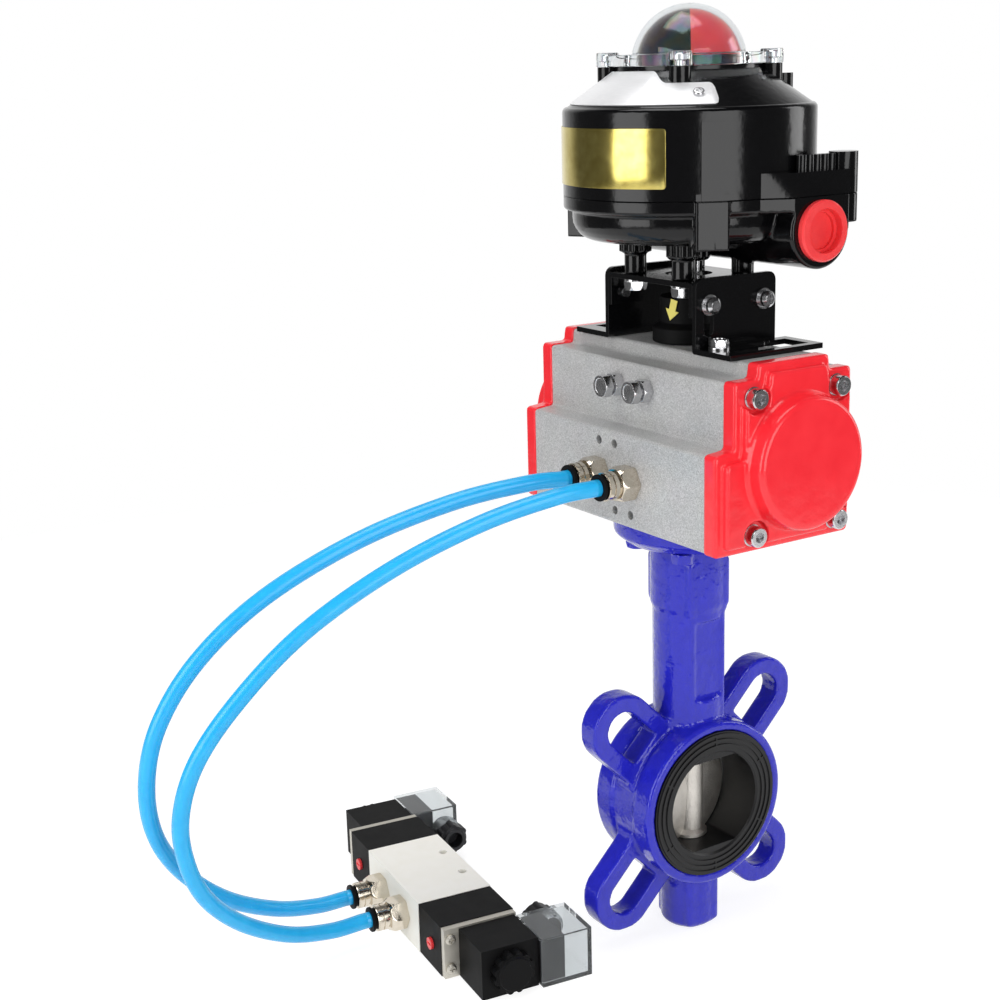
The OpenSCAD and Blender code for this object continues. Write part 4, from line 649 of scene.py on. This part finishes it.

# %% [markdown]
# ## A finished piece in place of its solid
# A finished piece rides on the same moving body as the solid that it replaces, and takes the
# finish of that solid's slot. A few pieces take a finish of their own: the flange bolts were
# enamelled with the body, the dome has its rainbow film, and the plates at the coils' ends are satin
# nickel.

# %% Stand in for a solid
slot_of = {sub["node"]: sub["material_slot"] for sub in frame["record"]["subparts"]}
FINISH_OF = {
    "flange_bolts": "blue_enamel",
    "dome": "dome_plastic",
    "beacon": "gloss_black",
    "core_tubes": "satin_nickel",
}


def stand_in(piece, name):
    """The piece rides where its solid does, and is seen in its place."""
    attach(piece, body_of(nodes[name])[0])
    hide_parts(name)
    piece.data.materials.clear()
    piece.data.materials.append(finishes[FINISH_OF.get(name, slot_of[name])])


print("solids with a finish of their own:", len(FINISH_OF))

# %% [markdown]
# ## Rounded edges on the made pieces
# A solid has mathematically sharp edges, and a real piece never has: paint, casting and
# deburring leave a small radius that catches the light. The quick way is a bevel on the merged
# copy. The flat facets of one plane are dissolved into a single face first, except on the
# cover and the conduit plugs, whose rings and cones need their triangles. Normals weighted by
# area then keep each flat, wall and cone true right up to its rounded edge.

# %% Round the edges
EDGES_MM = {
    "actuator_body": 0.5, "bracket_left": 0.3, "bracket_right": 0.3, "bracket_bridge": 0.3,
    "switch_cover": 1.0, "solenoid_block": 0.45, "pilot_blocks": 0.5,
    "coils": 1.2, "coil_nuts": 0.25, "plug_inserts": 0.35, "plugs": 0.7, "fittings": 0.3, "dome": 0.5,
    "conduit_plugs": 0.4, "position_puck": 0.6, "valve_disc": 0.5, "flange_bolts": 0.3, "stop_bolts": 0.3,
    "box_bolts": 0.3, "bracket_screws": 0.25, "end_cap_screws": 0.25, "box_screws": 0.2,
    "collet_a": 0.35, "collet_b": 0.35, "collet_c": 0.35, "collet_d": 0.35,
    "button_left": 0.2, "button_right": 0.2, "beacon": 0.15, "beacon_red": 0.15, "valve_seat": 0.15,
}
KEPT_WHOLE = ("switch_cover", "conduit_plugs")
FLAT_DEG, EDGE_DEG, SMOOTH_DEG = 0.6, 38, 36

for name, edge in EDGES_MM.items():
    piece = merged_copy(name)
    if name not in KEPT_WHOLE:
        bpy.ops.object.mode_set(mode="EDIT")
        bpy.ops.mesh.select_all(action="SELECT")
        bpy.ops.mesh.dissolve_limited(angle_limit=math.radians(FLAT_DEG))
        bpy.ops.object.mode_set(mode="OBJECT")
    bevel = piece.modifiers.new("edge", "BEVEL")
    bevel.width = edge / 1000
    bevel.segments = 2
    bevel.limit_method = "ANGLE"
    bevel.angle_limit = math.radians(EDGE_DEG)
    bevel.use_clamp_overlap = True
    bevel.miter_outer = "MITER_ARC"
    apply_all(piece)
    bpy.ops.object.shade_smooth_by_angle(angle=math.radians(SMOOTH_DEG))
    normals = piece.modifiers.new("normals", "WEIGHTED_NORMAL")
    normals.keep_sharp = True
    normals.weight = 80
    apply_all(piece)
    stand_in(piece, name)
    print(name, "has", len(piece.data.polygons), "faces")

# %% [markdown]
# ## The castings
# Sand casting and die casting leave every inner corner with a fillet. A fine voxel remesh
# turns a solid into an even skin, and a few rounds of smoothing wear down every edge and fill
# every corner by about the radius that a mould has. Decimate then merges what the flats do
# not need, so that the piece stays light. Each line gives the size of a voxel in millimetres,
# the rounds of smoothing and the share of the triangles that is kept.

# %% Soften the castings
CASTINGS = [
    ("valve_body", 0.75, 14, 0.45),
    ("switch_housing", 0.6, 4, 0.4),
    ("end_cap_right", 0.55, 4, 0.6),
    ("end_cap_left", 0.55, 4, 0.6),
]
for name, voxel_mm, rounds, kept in CASTINGS:
    piece = merged_copy(name)
    remesh = piece.modifiers.new("skin", "REMESH")
    remesh.mode = "VOXEL"
    remesh.voxel_size = voxel_mm / 1000
    remesh.use_smooth_shade = True
    soften = piece.modifiers.new("wear", "SMOOTH")
    soften.factor = 0.5
    soften.iterations = rounds
    thin = piece.modifiers.new("thin", "DECIMATE")
    thin.ratio = kept
    apply_all(piece)
    stand_in(piece, name)
    piece.data.calc_loop_triangles()
    print(name, "has", len(piece.data.loop_triangles), "triangles")

# %% [markdown]
# ## The round wall and the cone of the switch box
# Both are surfaces of revolution about the stem. Their two radii are needed three times: to
# true the normals of the box, to lay its plates and to seat a plate's screw. What lies on the
# box starts a hair, 0.1 mm, outside of it.

# %% Radii of the wall and the cone
WALL_R, BASE_R, BASE_Z, TOP_R, TOP_Z = 0.058, 0.0555, 0.3387, 0.0335, 0.3541
LEAN = math.atan2(BASE_R - TOP_R, TOP_Z - BASE_Z)
HAIR = 0.0001


def wall_radius(z):
    """The wall's radius, the same at every height."""
    return WALL_R + HAIR


def cone_radius(z):
    """The cone's radius at a height."""
    return BASE_R + (TOP_R - BASE_R) * (z - BASE_Z) / (TOP_Z - BASE_Z) + HAIR


print("the cone's side looks up by", round(math.degrees(LEAN), 1), "degrees")

# %% [markdown]
# ## True normals
# The wall and the cone mirror the studio, and there every wrong normal shows. Facets that lie
# on one of the two, near enough to be sure, take the exact normals of a cylinder and of a cone
# in place of the averaged ones. Near enough is half a millimetre, and some six degrees.

# %% True the switch box's normals
NEAR_M, NEAR_DOT = 0.0005, 0.994

for name in ("switch_cover_finished", "switch_housing_finished"):
    shell = scene.objects[name].data
    exact = [corner.vector.copy() for corner in shell.corner_normals]
    trued = 0
    for face in shell.polygons:
        for corner in face.loop_indices:
            at = shell.vertices[shell.loops[corner].vertex_index].co
            out = Vector((at.x, at.y, 0)).normalized()
            for radius_at, lean in ((wall_radius, 0.0), (cone_radius, LEAN)):
                normal = out * math.cos(lean) + Vector((0, 0, math.sin(lean)))
                off = abs(math.hypot(at.x, at.y) - radius_at(at.z))
                if off < NEAR_M and face.normal.dot(normal) > NEAR_DOT:
                    exact[corner] = normal
                    trued += 1
    shell.normals_split_custom_set(exact)
    print(name, "has", trued, "trued corners")

# %% [markdown]
# ## Plates on the switch box
# A gilt sheet is bent round the cover's wall and a silver one lies on its cone. Each starts as
# the side of a cylinder, from which everything outside the plate is deleted. Its edges are
# then drawn by moving the two ends of each upright edge, with a quarter circle at each corner.
# Solidify gives the sheet its thickness and a bevel its worn edge.

# %% A way to bend a plate
WORN_EDGE, WORN_DEG = 0.00012, 50


def corner_inset(to_end, corner):
    """How far a rounded corner draws an edge in, at a point so near to the plate's end."""
    if to_end >= corner:
        return 0.0
    return corner - math.sqrt(max(corner**2 - (corner - max(to_end, 0.0))**2, 0.0))


def sheet_on_cover(name, radius_at, low_at, high_at, start_deg, end_deg, corner, finish, thick_mm):
    """A thin plate bent round the cover, between two heights and two angles."""
    bpy.ops.object.select_all(action="DESELECT")
    bpy.ops.mesh.primitive_cone_add(vertices=480, radius1=WALL_R, radius2=WALL_R, depth=0.02,
                                    end_fill_type="NOTHING")
    piece = bpy.context.object
    piece.name = name
    bpy.ops.object.mode_set(mode="EDIT")
    bpy.ops.mesh.select_all(action="DESELECT")
    bpy.ops.object.mode_set(mode="OBJECT")
    for face in piece.data.polygons:
        face.select = not start_deg < math.degrees(math.atan2(face.center.y, face.center.x)) < end_deg
    bpy.ops.object.mode_set(mode="EDIT")
    bpy.ops.mesh.delete(type="FACE")
    bpy.ops.object.mode_set(mode="OBJECT")
    for vertex in piece.data.vertices:
        turn_deg = math.degrees(math.atan2(vertex.co.y, vertex.co.x))
        low, high = low_at(turn_deg), high_at(turn_deg)
        middle_r = radius_at((low + high) / 2)
        to_end = math.radians(min(turn_deg - start_deg, end_deg - turn_deg)) * middle_r
        inset = corner_inset(to_end, corner)
        z = low + inset if vertex.co.z < 0 else high - inset
        a = math.radians(turn_deg)
        vertex.co = (radius_at(z) * math.cos(a), radius_at(z) * math.sin(a), z)
    solid = piece.modifiers.new("sheet", "SOLIDIFY")
    solid.thickness = thick_mm / 1000
    solid.offset = 1.0
    bevel = piece.modifiers.new("edge", "BEVEL")
    bevel.width = WORN_EDGE
    bevel.segments = 2
    bevel.limit_method = "ANGLE"
    bevel.angle_limit = math.radians(WORN_DEG)
    apply_all(piece)
    bpy.ops.object.shade_smooth_by_angle(angle=math.radians(40))
    piece.data.materials.append(finishes[finish])
    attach(piece, "root")
    print(name, "has", len(piece.data.polygons), "faces")


print("a corner of 2 mm draws its end in by", round(1000 * corner_inset(0.0, 0.002), 1), "mm")

# %% [markdown]
# ### The two plates
# The gilt plate is a plain rectangle round the wall. The silver plate's upper edge drops round
# the front post of the cover, so its height is a small function: a smooth step turns the angle
# round the stem into an S.

# %% Bend the two plates
GILT_LOW, GILT_HIGH = 0.3045, 0.3302
SILVER_LOW, SILVER_HIGH = 0.3397, 0.3535
DROP, DROP_FROM_DEG, DROP_OVER_DEG = 0.0051, -66, 14


def gilt_bottom(turn_deg):
    """The gilt plate's lower edge is level."""
    return GILT_LOW


def gilt_top(turn_deg):
    """The gilt plate's upper edge is level too."""
    return GILT_HIGH


def silver_bottom(turn_deg):
    """The silver plate's lower edge is level."""
    return SILVER_LOW


def silver_top(turn_deg):
    """The silver plate's upper edge drops round the front post, in an S."""
    t = min(max((turn_deg - DROP_FROM_DEG) / DROP_OVER_DEG, 0.0), 1.0)
    return SILVER_HIGH - DROP * t * t * (3 - 2 * t)


sheet_on_cover("gilt_plate", wall_radius, gilt_bottom, gilt_top, start_deg=-150, end_deg=-48.7,
               corner=0.0015, finish="gold_plate", thick_mm=0.4)
sheet_on_cover("silver_plate", cone_radius, silver_bottom, silver_top, start_deg=-128, end_deg=-24.8,
               corner=0.0022, finish="silver_plate", thick_mm=0.5)

# %% [markdown]
# ## The plate's screw
# A small pan head with a cross recess holds the silver plate near its end. It is a cylinder
# with a bevelled rim, and the recess is cut by two crossed bars. It is modelled upright at
# the origin, then leant over to stand square on the cone.

# %% Cut the plate's screw
HEAD_R, HEAD_H, HEAD_EDGE = 0.0025, 0.0016, 0.0007
BAR_LONG, BAR_WIDE, BAR_H, BAR_Z = 0.0032, 0.0007, 0.0016, 0.0011

bpy.ops.object.select_all(action="DESELECT")
bpy.ops.mesh.primitive_cylinder_add(vertices=40, radius=HEAD_R, depth=HEAD_H)
screw = bpy.context.object
screw.name = "plate_screw"
rim = screw.modifiers.new("edge", "BEVEL")
rim.width = HEAD_EDGE
rim.segments = 4
rim.limit_method = "ANGLE"
rim.angle_limit = math.radians(60)
apply_all(screw)
for size_x, size_y in ((BAR_LONG, BAR_WIDE), (BAR_WIDE, BAR_LONG)):
    bpy.ops.object.select_all(action="DESELECT")
    bpy.ops.mesh.primitive_cube_add(size=1, scale=(size_x, size_y, BAR_H), location=(0, 0, BAR_Z))
    bar = bpy.context.object
    cut = screw.modifiers.new("cross", "BOOLEAN")
    cut.operation = "DIFFERENCE"
    cut.object = bar
    cut.solver = "EXACT"
    apply_all(screw)
    bpy.data.objects.remove(bar)
print("screw head:", len(screw.data.polygons), "faces")

# %% [markdown]
# ### Its seat
# The head sits on the plate, so its place is the cone's, moved out along the cone's normal. A
# matrix that stands +Z on that normal turns the mesh itself, and the object stays unturned at
# the origin.

# %% Seat the plate's screw
SWING_DEG, SEAT_Z, SEAT_OUT = -34, 0.344, 0.0012

swing = math.radians(SWING_DEG)
outward = Vector((math.cos(swing), math.sin(swing), 0))
normal = outward * math.cos(LEAN) + Vector((0, 0, math.sin(LEAN)))
seat = outward * cone_radius(SEAT_Z) + Vector((0, 0, SEAT_Z)) + normal * SEAT_OUT
screw.data.transform(Matrix.Translation(seat) @ normal.to_track_quat("Z", "Y").to_matrix().to_4x4())
only(screw)
bpy.ops.object.shade_smooth_by_angle(angle=math.radians(SMOOTH_DEG))
screw.data.materials.append(finishes["zinc_screws"])
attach(screw, "root")
print("screw at", tuple(round(c, 4) for c in seat))

# %% [markdown]
# ## Finish the rest
# Every solid that is still shown takes the finish of its slot, or its own where it has one,
# and the tubes take theirs.

# %% Give every piece its finish
for name, slot in slot_of.items():
    solid = nodes[name]
    solid.data.materials.clear()
    solid.data.materials.append(finishes[FINISH_OF.get(name, slot)])
for tube in tubes:
    tube.data.materials.append(finishes["blue_tube"])
print("solids:", len(slot_of), "tubes:", len(tubes))
